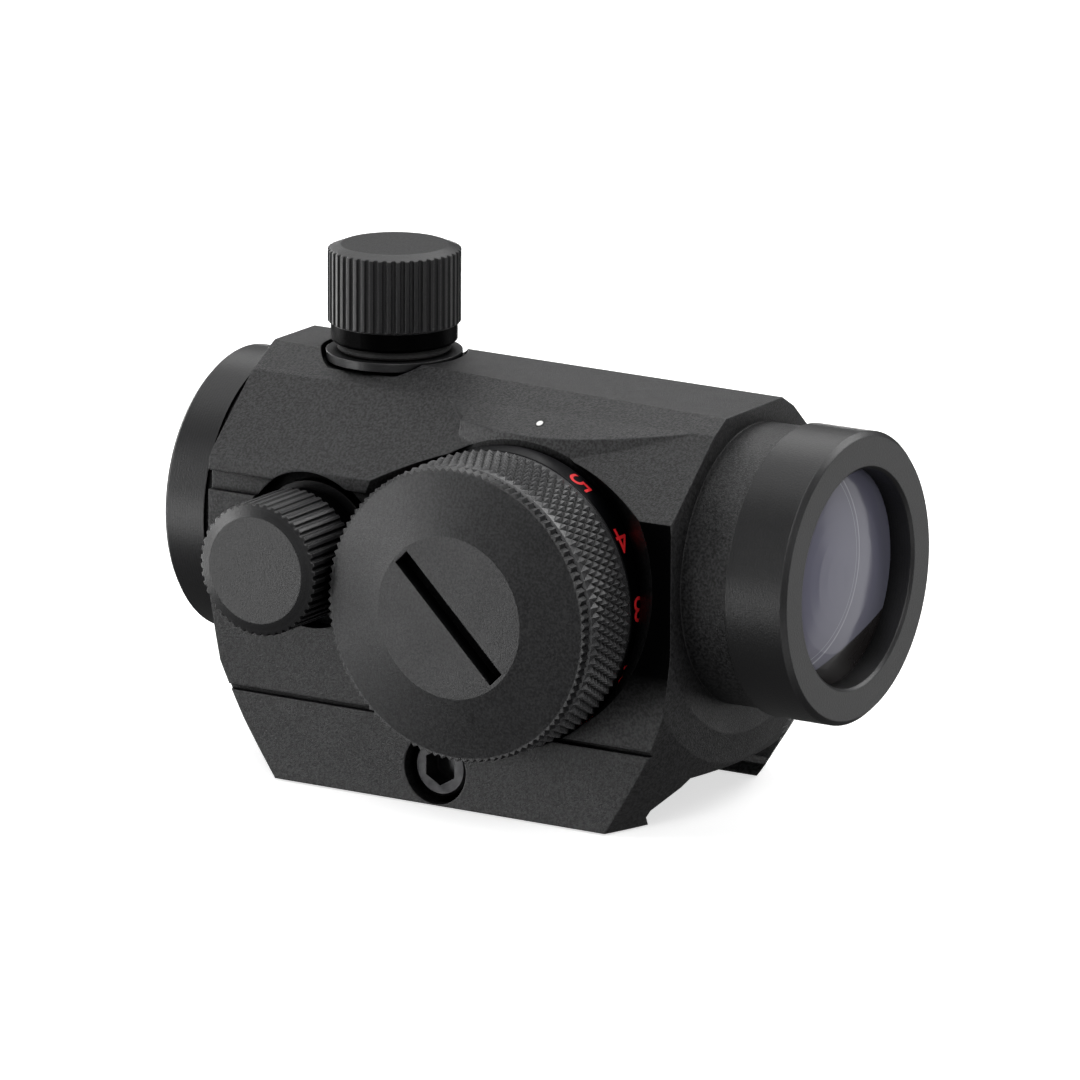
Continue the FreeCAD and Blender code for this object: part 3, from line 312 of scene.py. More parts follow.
    def bump(self, height: bpy.types.NodeSocket, strength: float, distance: float,
             normal: bpy.types.NodeSocket | None = None) -> bpy.types.NodeSocket:
        """A bump.

        Args:
            height: The height input.
            strength: Strength of the bump.
            distance: Height of a full step.
            normal: A normal to start from.

        Returns:
            The normal output.
        """
        node = self.add("ShaderNodeBump")
        node.inputs["Strength"].default_value = strength
        node.inputs["Distance"].default_value = distance
        self.join(height, node.inputs["Height"])
        if normal is not None:
            self.join(normal, node.inputs["Normal"])
        return node.outputs["Normal"]

    def edge_mask(self, rounded: bpy.types.NodeSocket, low: float, high: float) -> bpy.types.NodeSocket:
        """A factor that is high only along edges.

        Args:
            rounded: The rounded surface direction.
            low: The value away from edges.
            high: The value on edges.

        Returns:
            The factor output.
        """
        plain = self.add("ShaderNodeNewGeometry").outputs["Normal"]
        dot = self.add("ShaderNodeVectorMath", operation="DOT_PRODUCT")
        self.join(rounded, dot.inputs[0])
        self.join(plain, dot.inputs[1])
        node = self.add("ShaderNodeMapRange")
        node.inputs["From Min"].default_value, node.inputs["From Max"].default_value = EDGE_SPAN
        node.inputs["To Min"].default_value = low
        node.inputs["To Max"].default_value = high
        self.join(dot.outputs["Value"], node.inputs["Value"])
        return node.outputs["Result"]

    def mix(self, factor: bpy.types.NodeSocket, first: bpy.types.NodeSocket | Colour,
            second: bpy.types.NodeSocket | Colour) -> bpy.types.NodeSocket:
        """Mixes two colours.

        Args:
            factor: 0 gives the first colour, 1 the second.
            first: An output or a colour.
            second: An output or a colour.

        Returns:
            The colour output.
        """
        node = self.add("ShaderNodeMix", data_type="RGBA")
        self.join(factor, node.inputs[0])
        for socket, value in ((node.inputs[6], first), (node.inputs[7], second)):
            if isinstance(value, tuple):
                socket.default_value = (*value, 1.0)
            else:
                self.join(value, socket)
        return node.outputs[2]

    def product(self, first: bpy.types.NodeSocket,
                second: bpy.types.NodeSocket) -> bpy.types.NodeSocket:
        """Multiplies two factors.

        Args:
            first: One factor.
            second: The other factor.

        Returns:
            The factor output.
        """
        both = self.add("ShaderNodeMath", operation="MULTIPLY")
        self.join(first, both.inputs[0])
        self.join(second, both.inputs[1])
        return both.outputs["Value"]

    def set(self, **values: object) -> None:
        """Sets or links inputs of the shader; underscores stand for spaces.

        Args:
            values: Each input's value, or the output that drives it.
        """
        for key, value in values.items():
            socket = self.shader.inputs[key.replace("_", " ")]
            if isinstance(value, bpy.types.NodeSocket):
                self.join(value, socket)
            else:
                socket.default_value = value


# ---------------------------------------------------------------- finishes
# Painted shade: the colour and specular level that deep corners, the side strip by the dial and the turret
# collars fall to.
PAINTED_SHADE_BLACK = (0.0006, 0.0006, 0.0007)
PAINTED_SHADE_GLOSS = 0.02
GLASS_IOR = 1.5


@dataclass(frozen=True)
class BlastedAnodise:
    """Matte anodised aluminium with a fine blasted grain."""

    name: str = "blasted_anodise"
    dark: Colour = (0.001, 0.001, 0.0012)
    light: Colour = (0.026, 0.026, 0.027)
    edge: Colour = (0.045, 0.045, 0.047)
    roughness: tuple[float, float] = (0.38, 0.46)
    grain: float = 7000.0
    grain_height: float = 0.00009
    softness: float = 0.00022
    corner_reach: float = 0.006
    corner_span: tuple[float, float] = (0.30, 0.72)
    shaded_strip: bool = False
    gloss: float = 0.5
    cloud: float = 260.0
    stops: tuple[float, float] = (0.38, 0.62)
    wear: float = 0.55
    strip_facing: tuple[float, float] = (0.75, 0.9)
    strip_edges: tuple[tuple[str, float, float], ...] = (
        ("X", 13.2, 13.6), ("Y", 12.9, 13.3), ("Z", 6.5, 11.0), ("Z", 25.6, 25.0))

    def make(self) -> bpy.types.Material:
        """Builds the material.

        Returns:
            The material.
        """
        sheet = NodeSheet(self.name)
        grain = sheet.noise(self.grain, 3.0, 0.6)
        cloud = sheet.noise(self.cloud, 4.0)
        rounded = sheet.soft_edges(self.softness)
        low, high = self.stops
        colour = sheet.ramp(sheet.noise(self.grain * 0.6, 2.0), [(low, self.dark), (high, self.light)])
        # Edge colour: rubbed edges on most finishes; on the knurl its very bright edge colour is a painted
        # highlight.
        edge_tone = sheet.edge_mask(rounded, 0.0, self.wear)
        # Painted shade: colour and gloss fall to black in deep corners.
        unshaded = sheet.openness(self.corner_reach, *self.corner_span)
        # Painted shade and painted dark reflection of the dial on the side strip in front of it.
        if self.shaded_strip:
            unshaded = sheet.outside(self.strip(sheet), unshaded)
        sheet.set(
            Base_Color=sheet.mix(unshaded, PAINTED_SHADE_BLACK, sheet.mix(edge_tone, colour, self.edge)),
            Roughness=sheet.spread(cloud, *self.roughness),
            Normal=sheet.bump(grain, 0.6, self.grain_height, rounded),
            Specular_IOR_Level=sheet.level(unshaded, PAINTED_SHADE_GLOSS, self.gloss),
        )
        return sheet.material

    def strip(self, sheet: NodeSheet) -> bpy.types.NodeSocket:
        """A factor that is 1 on the upright strip between the dial and the front edge of the side, where the
        dial's shade and dark reflection are painted.

        Args:
            sheet: The sheet to add to.

        Returns:
            The factor output.
        """
        parts = sheet.add("ShaderNodeSeparateXYZ")
        sheet.join(sheet.place, parts.inputs["Vector"])
        facing = sheet.add("ShaderNodeSeparateXYZ")
        sheet.join(sheet.add("ShaderNodeNewGeometry").outputs["True Normal"], facing.inputs["Vector"])
        mask = sheet.ramp_between(facing.outputs["X"], *self.strip_facing)
        for output, low, high in self.strip_edges:
            step = sheet.ramp_between(parts.outputs[output], low * MM, high * MM)
            mask = sheet.product(mask, step)
        return mask


@dataclass(frozen=True)
class TurnedAnodise:
    """Anodised aluminium that keeps its turning marks."""

    name: str
    centre: tuple[float, float, float]
    axis: Axis
    pitch: float = 0.00028
    dark: Colour = (0.009, 0.009, 0.0095)
    light: Colour = (0.014, 0.014, 0.015)
    edge: Colour = (0.05, 0.05, 0.052)
    roughness: tuple[float, float] = (0.34, 0.42)
    softness: float = 0.00016
    corner_reach: float = 0.004
    corner_span: tuple[float, float] = (0.30, 0.75)
    collar: tuple[float, float] = (0.0, 0.0)
    collar_blur: float = 0.03 * MM
    wear: float = 0.6
    grain: float = 5200.0
    grain_height: float = 0.000035
    mark_height: float = 0.00001
    gloss: float = 0.5

    def make(self) -> bpy.types.Material:
        """Builds the material.

        Returns:
            The material.
        """
        sheet = NodeSheet(self.name)
        marks = sheet.rings(self.centre, self.axis, self.pitch)
        rounded = sheet.soft_edges(self.softness)
        # Edge colour: rubbed edges.
        edge_tone = sheet.edge_mask(rounded, 0.0, self.wear)
        colour = sheet.ramp(marks, [(0.0, self.dark), (1.0, self.light)])
        grained = sheet.bump(sheet.noise(self.grain, 3.0), 0.5, self.grain_height, rounded)
        # Painted shade: colour and gloss fall to black in deep corners, and on the collar when one is given.
        unshaded = sheet.openness(self.corner_reach, *self.corner_span)
        if self.collar[1] > self.collar[0]:
            unshaded = sheet.outside(self.collar_mask(sheet), unshaded)
        sheet.set(
            Base_Color=sheet.mix(unshaded, PAINTED_SHADE_BLACK, sheet.mix(edge_tone, colour, self.edge)),
            Roughness=sheet.spread(sheet.noise(6000.0, 3.0), *self.roughness),
            Normal=sheet.bump(marks, 0.05, self.mark_height, grained),
            Specular_IOR_Level=sheet.level(unshaded, PAINTED_SHADE_GLOSS, self.gloss),
        )
        return sheet.material

    def collar_mask(self, sheet: NodeSheet) -> bpy.types.NodeSocket:
        """A factor that is 1 on the collar, between its two places along the axis, where shade is painted.

        Args:
            sheet: The sheet to add to.

        Returns:
            The factor output.
        """
        parts = sheet.add("ShaderNodeSeparateXYZ")
        sheet.join(sheet.place, parts.inputs["Vector"])
        along = parts.outputs[self.axis.value]
        rise = sheet.ramp_between(along, self.collar[0], self.collar[0] + self.collar_blur)
        fall = sheet.ramp_between(along, self.collar[1], self.collar[1] - self.collar_blur)
        return sheet.product(rise, fall)


@dataclass(frozen=True)
class TurnedMetal:
    """Bare metal with turning marks."""

    name: str
    centre: tuple[float, float, float]
    axis: Axis
    dark: Colour
    light: Colour
    roughness: tuple[float, float] = (0.18, 0.32)
    pitch: float = 0.00016
    softness: float = 0.0001
    blotch: float = 700.0
    mark_height: float = 0.00001

    def make(self) -> bpy.types.Material:
        """Builds the material.

        Returns:
            The material.
        """
        sheet = NodeSheet(self.name)
        marks = sheet.rings(self.centre, self.axis, self.pitch)
        rounded = sheet.soft_edges(self.softness)
        sheet.set(
            Base_Color=sheet.ramp(sheet.noise(self.blotch, 4.0), [(0.3, self.dark), (0.7, self.light)]),
            Metallic=1.0,
            Roughness=sheet.spread(marks, *self.roughness),
            Normal=sheet.bump(marks, 0.3, self.mark_height, rounded),
        )
        return sheet.material


@dataclass(frozen=True)
class MouldedStock:
    """A plain moulded or painted material with a fine grain."""

    name: str
    dark: Colour
    light: Colour
    roughness: tuple[float, float]
    grain: float = 3000.0
    grain_height: float = 0.00002

    def make(self) -> bpy.types.Material:
        """Builds the material.

        Returns:
            The material.
        """
        sheet = NodeSheet(self.name)
        grain = sheet.noise(self.grain, 3.0)
        sheet.set(
            Base_Color=sheet.ramp(sheet.noise(self.grain * 0.3, 3.0), [(0.3, self.dark), (0.7, self.light)]),
            Roughness=sheet.spread(grain, *self.roughness),
            Normal=sheet.bump(grain, 0.3, self.grain_height),
        )
        return sheet.material


@dataclass(frozen=True)
class CoatedGlass:
    """Glass with a bright reflecting coat over most of its see-through colour."""

    name: str
    tint: Colour
    tint_edge: Colour
    mirror: float
    radius: float
    roughness: float = 0.03
    roughness_change: float = 0.02
    rim_share: float = 0.35
    smear: float = 400.0

    def make(self) -> bpy.types.Material:
        """Builds the material.

        Returns:
            The material.
        """
        sheet = NodeSheet(self.name)
        ring = sheet.add("ShaderNodeTexGradient", gradient_type="SPHERICAL")
        place = sheet.add("ShaderNodeMapping")
        place.inputs["Location"].default_value = (0.0, 0.0, -OPTICAL_AXIS[2] / self.radius)
        place.inputs["Scale"].default_value = (1.0 / self.radius, 0.0, 1.0 / self.radius)
        sheet.join(sheet.place, place.inputs["Vector"])
        sheet.join(place.outputs["Vector"], ring.inputs["Vector"])
        colour = sheet.ramp(ring.outputs["Fac"], [(0.0, self.tint_edge), (self.rim_share, self.tint)])
        sheet.set(
            Base_Color=colour,
            Metallic=self.mirror,
            Roughness=sheet.spread(sheet.noise(self.smear, 2.0), self.roughness,
                                   self.roughness + self.roughness_change),
            IOR=GLASS_IOR,
            Transmission_Weight=1.0,
        )
        return sheet.material


@dataclass(frozen=True)
class FilledDot:
    """White paint in the middle of the index plug, with an anodised rim."""

    name: str = "white_paint"
    centre: tuple[float, float, float] = (8.6 * MM, 1.6 * MM, 0.0)
    radius: float = 0.30 * MM
    blur: float = 0.03 * MM
    dark: Colour = (0.72, 0.72, 0.70)
    light: Colour = (0.86, 0.86, 0.84)
    rim_colour: Colour = (0.010, 0.010, 0.011)
    grain: float = 4000.0
    roughness: tuple[float, float] = (0.4, 0.5)

    def make(self) -> bpy.types.Material:
        """Builds the material.

        Returns:
            The material.
        """
        sheet = NodeSheet(self.name)
        away = sheet.distance(self.centre, Axis.Z)
        rim = sheet.ramp_between(away, self.radius - self.blur, self.radius + self.blur)
        paint = sheet.ramp(sheet.noise(self.grain, 3.0), [(0.3, self.dark), (0.7, self.light)])
        sheet.set(
            Base_Color=sheet.mix(rim, paint, self.rim_colour),
            Roughness=sheet.spread(sheet.noise(self.grain, 2.0), *self.roughness),
        )
        return sheet.material


@dataclass(frozen=True)
class ViewingGlass:
    """The coated objective lens, with painted reflections: a lavender bloom, thin bright rings and a dark
    part below a slanted line.
    """

    name: str = "coated_glass"
    bloom: Colour = (0.195, 0.193, 0.262)
    rim_bloom: Colour = (0.200, 0.200, 0.262)
    bright_ring: Colour = (0.62, 0.62, 0.68)
    low_tint: Colour = (0.012, 0.009, 0.009)
    ring_centre: tuple[float, float, float] = (7.2 * MM, 0.0, 21.1 * MM)
    ring_radius: float = 10.1 * MM
    rim_centre: tuple[float, float, float] = (1.6 * MM, 0.0, 20.6 * MM)
    rim_radius: float = 9.2 * MM
    horizon: float = -6.97 * MM
    tilt: float = 0.242
    see_through: float = 0.45
    step_blur: float = 0.1 * MM
    low_blur: float = 0.15 * MM
    ring_lines: tuple[tuple[float, float], ...] = ((0.13 * MM, 0.0), (0.05 * MM, 0.55 * MM))
    line_strength: float = 0.8
    roughness: tuple[float, float] = (0.12, 0.15)
    gloss: float = 0.06
    coat: float = 0.35
    coat_roughness: float = 0.42

    def make(self) -> bpy.types.Material:
        """Builds the material.

        Returns:
            The material.
        """
        sheet = NodeSheet(self.name)
        # Painted reflections: the lavender bloom, the bright rings and the dark lower part stand in for what
        # the coated glass reflects.
        colour = self.circle_step(sheet, self.bloom, self.rim_bloom, self.step_blur)
        for width, inset in self.ring_lines:
            colour = self.circle_line(sheet, colour, width, inset)
        colour = sheet.mix(self.below(sheet), colour, self.low_tint)
        grain = sheet.noise(3000.0, 3.0, 0.5, (1.0, 1.0, 0.1))
        sheet.set(
            Base_Color=colour,
            Roughness=sheet.spread(grain, *self.roughness),
            IOR=GLASS_IOR,
            Transmission_Weight=self.see_through,
            Normal=sheet.add("ShaderNodeNewGeometry").outputs["True Normal"],
            Specular_IOR_Level=self.gloss,
            Coat_Weight=self.coat,
            Coat_Roughness=self.coat_roughness,
        )
        return sheet.material

    def circle_step(self, sheet: NodeSheet, inside: Colour, outside: Colour,
                    blur: float) -> bpy.types.NodeSocket:
        """One colour inside the rim circle and another outside.

        Args:
            sheet: The sheet to add to.
            inside: The colour inside.
            outside: The colour outside.
            blur: Half width of the change, in metres.

        Returns:
            The colour output.
        """
        away = sheet.distance(self.rim_centre, Axis.Y)
        mask = sheet.ramp_between(away, self.rim_radius - blur, self.rim_radius + blur)
        return sheet.mix(mask, inside, outside)

    def circle_line(self, sheet: NodeSheet, under: bpy.types.NodeSocket, width: float,
                    inset: float) -> bpy.types.NodeSocket:
        """A thin bright ring over a colour: a painted highlight.

        Args:
            sheet: The sheet to add to.
            under: The colour below the ring.
            width: Half width of the ring, in metres.
            inset: How far it lies inside the ring circle, in metres.

        Returns:
            The colour output.
        """
        away = sheet.add("ShaderNodeMath", operation="SUBTRACT")
        sheet.join(sheet.distance(self.ring_centre, Axis.Y), away.inputs[0])
        away.inputs[1].default_value = self.ring_radius - inset
        size = sheet.add("ShaderNodeMath", operation="ABSOLUTE")
        sheet.join(away.outputs["Value"], size.inputs[0])
        span = sheet.add("ShaderNodeMapRange")
        span.inputs["From Min"].default_value = 0.0
        span.inputs["From Max"].default_value = width
        span.inputs["To Min"].default_value = self.line_strength
        span.inputs["To Max"].default_value = 0.0
        sheet.join(size.outputs["Value"], span.inputs["Value"])
        return sheet.mix(span.outputs["Result"], under, self.bright_ring)

    def below(self, sheet: NodeSheet) -> bpy.types.NodeSocket:
        """A factor that is 1 under the slanting edge of the bloom, where a dark reflection is painted.

        Args:
            sheet: The sheet to add to.

        Returns:
            The factor output.
        """
        place = sheet.add("ShaderNodeVectorMath", operation="DOT_PRODUCT")
        sheet.join(sheet.centred(OPTICAL_AXIS), place.inputs[0])
        place.inputs[1].default_value = (self.tilt, 0.0, 1.0)
        return sheet.ramp_between(place.outputs["Value"], self.horizon, self.horizon - self.low_blur)


@dataclass(frozen=True)
class CircuitBoard:
    """Solder mask with copper tracks showing through as rings."""

    name: str = "circuit_board"
    pitch: float = 0.0011
    mask: Colour = (0.01, 0.055, 0.02)
    copper: Colour = (0.35, 0.20, 0.06)
    roughness: tuple[float, float] = (0.3, 0.45)

    def make(self) -> bpy.types.Material:
        """Builds the material.

        Returns:
            The material.
        """
        sheet = NodeSheet(self.name)
        tracks = sheet.rings(DIAL_AXIS, Axis.X, self.pitch)
        sheet.set(
            Base_Color=sheet.ramp(tracks, [(0.25, self.mask), (0.45, self.copper)]),
            Roughness=sheet.spread(sheet.noise(1500.0, 2.0), *self.roughness),
            Normal=sheet.bump(tracks, 0.2, 0.00002),
        )
        return sheet.material


@dataclass(frozen=True)
class GlowingEmitter:
    """The clear red body of the light source."""

    name: str = "led_red"
    dark: Colour = (0.5, 0.01, 0.01)
    light: Colour = (0.8, 0.03, 0.02)
    glow: tuple[float, float, float, float] = (1.0, 0.05, 0.02, 1.0)
    glow_strength: float = 0.6
    grain: float = 2500.0
    roughness: tuple[float, float] = (0.1, 0.2)

    def make(self) -> bpy.types.Material:
        """Builds the material.

        Returns:
            The material.
        """
        sheet = NodeSheet(self.name)
        sheet.set(
            Base_Color=sheet.ramp(sheet.noise(self.grain, 2.0), [(0.3, self.dark), (0.7, self.light)]),
            Roughness=sheet.spread(sheet.noise(self.grain, 2.0), *self.roughness),
            Emission_Color=self.glow,
            Emission_Strength=self.glow_strength,
        )
        return sheet.material


class FinishBook:
    """Every finish of the finder, made once."""

    def __init__(self) -> None:
        """Builds all the materials."""
        recipes = [
            # The housing, with painted shade on the side strip by the dial.
            BlastedAnodise(shaded_strip=True),
            # Lit copy of the dial's anodise: its lighter colours and very bright edge colour are painted
            # highlight on the knurl.
            BlastedAnodise(name="knurled_anodise_painted_highlight", dark=(0.034, 0.034, 0.035), light=(0.060, 0.060, 0.062),
                           edge=(0.36, 0.36, 0.363), roughness=(0.24, 0.32), grain_height=0.00001,
                           softness=0.00005, corner_reach=0.0007, corner_span=(0.50, 0.86)),
            # Shaded copy of the dial's anodise: the band's near-black colour and weak gloss are painted
            # shade, as under the housing's hood.
            BlastedAnodise(name="band_anodise_painted_shade", dark=(0.003, 0.003, 0.0035), light=(0.005, 0.005, 0.006),
                           edge=(0.02, 0.02, 0.021), roughness=(0.30, 0.38), grain_height=0.00001,
                           softness=0.0001, gloss=0.10),
            BlastedAnodise(name="cap_anodise", dark=(0.006, 0.006, 0.0065), light=(0.022, 0.022, 0.023),
                           grain_height=0.00004, roughness=(0.33, 0.40), softness=0.00012,
                           corner_reach=0.003, corner_span=(0.35, 0.80)),
            TurnedAnodise("turned_optic", OPTICAL_AXIS, Axis.Y),
            # The collar ranges paint shade on the collar band of each turret, below the cap's fluted grip.
            TurnedAnodise("turned_elevation", ELEVATION_AXIS, Axis.Z, pitch=0.0002,
                          collar=(34.3 * MM, 36.3 * MM)),
            TurnedAnodise("turned_windage", WINDAGE_AXIS, Axis.X, pitch=0.0002,
                          collar=(14.3 * MM, 16.3 * MM)),
            TurnedAnodise("inner_black", OPTICAL_AXIS, Axis.Y, pitch=0.0005, dark=(0.006, 0.006, 0.007),
                          light=(0.014, 0.014, 0.015), roughness=(0.5, 0.6)),
            ViewingGlass(),
            CoatedGlass("clear_glass", (0.86, 0.88, 0.90), (0.80, 0.82, 0.86), 0.12, 10.4 * MM),
            TurnedMetal("screw_steel", SCREW_AXIS, Axis.X, (0.035, 0.035, 0.037), (0.09, 0.09, 0.092),
                        (0.4, 0.5)),
            TurnedMetal("spring_steel", DIAL_AXIS, Axis.X, (0.36, 0.36, 0.38), (0.5, 0.5, 0.52)),
            TurnedMetal("brass", ELEVATION_AXIS, Axis.Z, (0.55, 0.38, 0.14), (0.72, 0.52, 0.22)),
            TurnedMetal("cell_steel", DIAL_AXIS, Axis.X, (0.55, 0.56, 0.58), (0.72, 0.73, 0.75)),
            MouldedStock("black_plastic", (0.012, 0.012, 0.013), (0.022, 0.022, 0.024), (0.35, 0.5)),
            MouldedStock("rubber", (0.008, 0.008, 0.008), (0.016, 0.016, 0.016), (0.7, 0.85)),
            MouldedStock("red_paint", (0.62, 0.012, 0.018), (0.80, 0.025, 0.03), (0.4, 0.5),
                         4000.0, 0.000008),
            FilledDot(),
            CircuitBoard(),
            GlowingEmitter(),
        ]
        self.materials = {recipe.name: recipe.make() for recipe in recipes}

    def dress(self, piece: bpy.types.Object, finish: str) -> None:
        """Gives a piece one finish all over.

        Args:
            piece: The mesh object.
            finish: The name of the finish.
        """
        piece.data.materials.clear()
        piece.data.materials.append(self.materials[finish])


# ---------------------------------------------------------------- mesh work
class MeshShop:
    """Small calls shared by the sub-assemblies."""

    @staticmethod
    def spun(profile: list[tuple[float, float]], steps: int) -> bmesh.types.BMesh:
        """Spins a profile into a closed ring round the X axis.

        Args:
            profile: Radius and place along X of each corner, in millimetres.
            steps: Steps of the full turn.

        Returns:
            The bmesh, in metres.
        """
        bm = bmesh.new()
        corners = [bm.verts.new((x * MM, r * MM, 0.0)) for r, x in profile]
        edges = [bm.edges.new((corners[k], corners[(k + 1) % len(corners)])) for k in range(len(corners))]
        bmesh.ops.spin(bm, geom=corners + edges, cent=(0, 0, 0), axis=(1, 0, 0), angle=2 * math.pi,
                       steps=steps, use_merge=True)
        bmesh.ops.remove_doubles(bm, verts=bm.verts, dist=1e-7)
        bmesh.ops.recalc_face_normals(bm, faces=bm.faces)
        return bm

    @staticmethod
    def finish(bm: bmesh.types.BMesh, name: str, smooth_degrees: float = 35.0) -> bpy.types.Object:
        """Turns a bmesh into an object of the scene.

        Args:
            bm: The finished mesh, which is freed.
            name: The name of the piece.
            smooth_degrees: Edges sharper than this stay sharp.

        Returns:
            The object.
        """
        mesh = bpy.data.meshes.new(name)
        bm.to_mesh(mesh)
        bm.free()
        for polygon in mesh.polygons:
            polygon.use_smooth = True
        mesh.set_sharp_from_angle(angle=math.radians(smooth_degrees))
        piece = bpy.data.objects.new(name, mesh)
        bpy.context.scene.collection.objects.link(piece)
        return piece


# ---------------------------------------------------------------- sub-assemblies
@dataclass
class BrightnessDial:
    """The knurled dial with its band of numbers, all in millimetres."""

    knurl_radius: float = 13.75
    knurl_inner: float = 13.5
    knurl_outer: float = 20.5
    band_radius: float = 13.45
    band_inner: float = 11.2
    bore_radius: float = 11.7
    web_outer: float = 13.9
    web_inner: float = 12.8
    spindle_radius: float = 2.6
    spindle_end: float = 10.1
    diamonds_round: int = 98
    diamond_rows: int = 4
    diamond_depth: float = 0.36
    positions: int = 13
    number_height: float = 2.35
    numbers: tuple[int, ...] = (5, 4, 3, 2, 1, 0, 1, 2, 3, 4, 5)
    first_number_degrees: float = 57.0
    number_lift: float = 0.02
    axis_gap: float = 0.02
    grip_margin: float = 0.25
    band_wall: float = 1.1
    band_chamfer: float = 0.12
    band_groove: float = 0.1
    rim_chamfer: float = 0.55
    mouth_chamfer: float = 0.15

    def build(self, book: FinishBook) -> None:
        """Makes the knurled shell, the hub and the numbers, and dresses them.

        Args:
            book: The finishes.
        """
        shell = self.shell()
        book.dress(shell, "knurled_anodise_painted_highlight")
        shell.data.materials.append(book.materials["band_anodise_painted_shade"])
        self.paint_band(shell)
        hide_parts("brightness_dial")
        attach(shell, "dial")
        LOG.info("brightness dial: %d faces", len(shell.data.polygons))
        for place, value in enumerate(self.numbers):
            digit = self.number(place, value)
            book.dress(digit, "red_paint")
            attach(digit, "dial")
        LOG.info("dial numbers: %d", len(self.numbers))

    def shell(self) -> bpy.types.Object:
        """The shell of the dial, with raised diamonds round the grip.

        Returns:
            The object.
        """
        start = self.knurl_inner + self.grip_margin
        stop = self.knurl_outer - self.grip_margin
        step = (stop - start) / (2 * self.diamond_rows)
        rows = [(self.knurl_radius - self.diamond_depth, start + step * k)
                for k in range(2 * self.diamond_rows + 1)]
        profile = [
            (self.axis_gap, self.spindle_end),
            (self.spindle_radius, self.spindle_end),
            (self.spindle_radius, self.web_inner),
            (self.band_radius - self.band_wall, self.web_inner),
            (self.band_radius - self.band_wall, self.band_inner),
            (self.band_radius - self.band_chamfer, self.band_inner),
            (self.band_radius, self.band_inner + self.band_chamfer),
            (self.band_radius, self.knurl_inner - self.band_groove),
            (self.band_radius - self.band_groove, self.knurl_inner),
            *rows,
            (self.knurl_radius - self.rim_chamfer, self.knurl_outer),
            (self.bore_radius + self.mouth_chamfer, self.knurl_outer),
            (self.bore_radius, self.knurl_outer - self.mouth_chamfer),
            (self.bore_radius, self.web_outer),
            (self.axis_gap, self.web_outer),
        ]
        bm = MeshShop.spun(profile, 2 * self.diamonds_round)
        self.raise_diamonds(bm, start, step)
        bmesh.ops.translate(bm, verts=bm.verts, vec=DIAL_AXIS)
        return MeshShop.finish(bm, "knurled_dial_shell", smooth_degrees=22.0)

    def raise_diamonds(self, bm: bmesh.types.BMesh, start: float, step: float) -> None:
        """Cuts each cell of the grip across and lifts every second corner.

        Args:
            bm: The spun dial.
            start: Where the grip starts along X, in millimetres.
            step: Spacing of the grip's rows, in millimetres.
        """
        half_turn = math.pi / self.diamonds_round
        floor = (self.knurl_radius - self.diamond_depth) * MM
        peaks, valleys = [], []
        for vert in bm.verts:
            radius = math.hypot(vert.co.y, vert.co.z)
            row = (vert.co.x / MM - start) / step
            if abs(radius - floor) > 1e-6 or not -0.01 < row < 2 * self.diamond_rows + 0.01:
                continue
            column = math.atan2(vert.co.z, vert.co.y) / half_turn
            inner = 0.5 < row < 2 * self.diamond_rows - 0.5
            if (round(column) + round(row)) % 2 or not inner:
                valleys.append(vert)
            else:
                peaks.append(vert)
        bmesh.ops.connect_verts(bm, verts=valleys)
        for vert in peaks:
            scale = 1.0 + self.diamond_depth * MM / floor
            vert.co.y *= scale
            vert.co.z *= scale

    def paint_band(self, shell: bpy.types.Object) -> None:
        """Gives the smooth band its own finish, a darker copy of the anodise with painted shade.

        Args:
            shell: The shell of the dial.
        """
        for polygon in shell.data.polygons:
            x = polygon.center.x / MM
            radius = math.hypot(polygon.center.y - DIAL_AXIS[1], polygon.center.z - DIAL_AXIS[2]) / MM
            if x < self.knurl_inner and radius > self.band_radius - 0.3:
                polygon.material_index = 1

    def number(self, place: int, value: int) -> bpy.types.Object:
        """One painted number, wrapped round the band.

        Args:
            place: Which place of the scale it has.
            value: The number.

        Returns:
            The object.
        """
        curve = bpy.data.curves.new("figure", "FONT")
        curve.body = str(value)
        curve.align_x = "CENTER"
        curve.align_y = "CENTER"
        curve.size = 1.0
        curve.extrude = 0.01
        flat = bpy.data.objects.new("figure_curve", curve)
        bpy.context.scene.collection.objects.link(flat)
        bpy.context.view_layer.update()
        mesh = bpy.data.meshes.new_from_object(flat.evaluated_get(bpy.context.evaluated_depsgraph_get()))
        bpy.data.objects.remove(flat)
        bm = bmesh.new()
        bm.from_mesh(mesh)
        bpy.data.meshes.remove(mesh)
        bmesh.ops.remove_doubles(bm, verts=bm.verts, dist=1e-4)
        bmesh.ops.triangulate(bm, faces=bm.faces)
        bmesh.ops.subdivide_edges(bm, edges=[e for e in bm.edges if e.calc_length() > 0.12], cuts=2)
        low = min(v.co.y for v in bm.verts)
        high = max(v.co.y for v in bm.verts)
        scale = self.number_height / (high - low)
        turn = 2 * math.pi / self.positions
        angle = math.radians(self.first_number_degrees) - turn * place
        middle_x = 0.5 * (self.band_inner + self.knurl_inner)
        for vert in bm.verts:
            along = vert.co.x * scale
            around = (vert.co.y - 0.5 * (low + high)) * scale
            lift = self.number_lift if vert.co.z > 0 else -self.number_lift
            theta = angle - around / self.band_radius
            radius = (self.band_radius + lift) * MM
            vert.co = Vector((
                (middle_x + along) * MM,
                DIAL_AXIS[1] + radius * math.cos(theta),
                DIAL_AXIS[2] + radius * math.sin(theta),
            ))
        bmesh.ops.recalc_face_normals(bm, faces=bm.faces)
        return MeshShop.finish(bm, f"dial_number_{place:02d}", smooth_degrees=40.0)


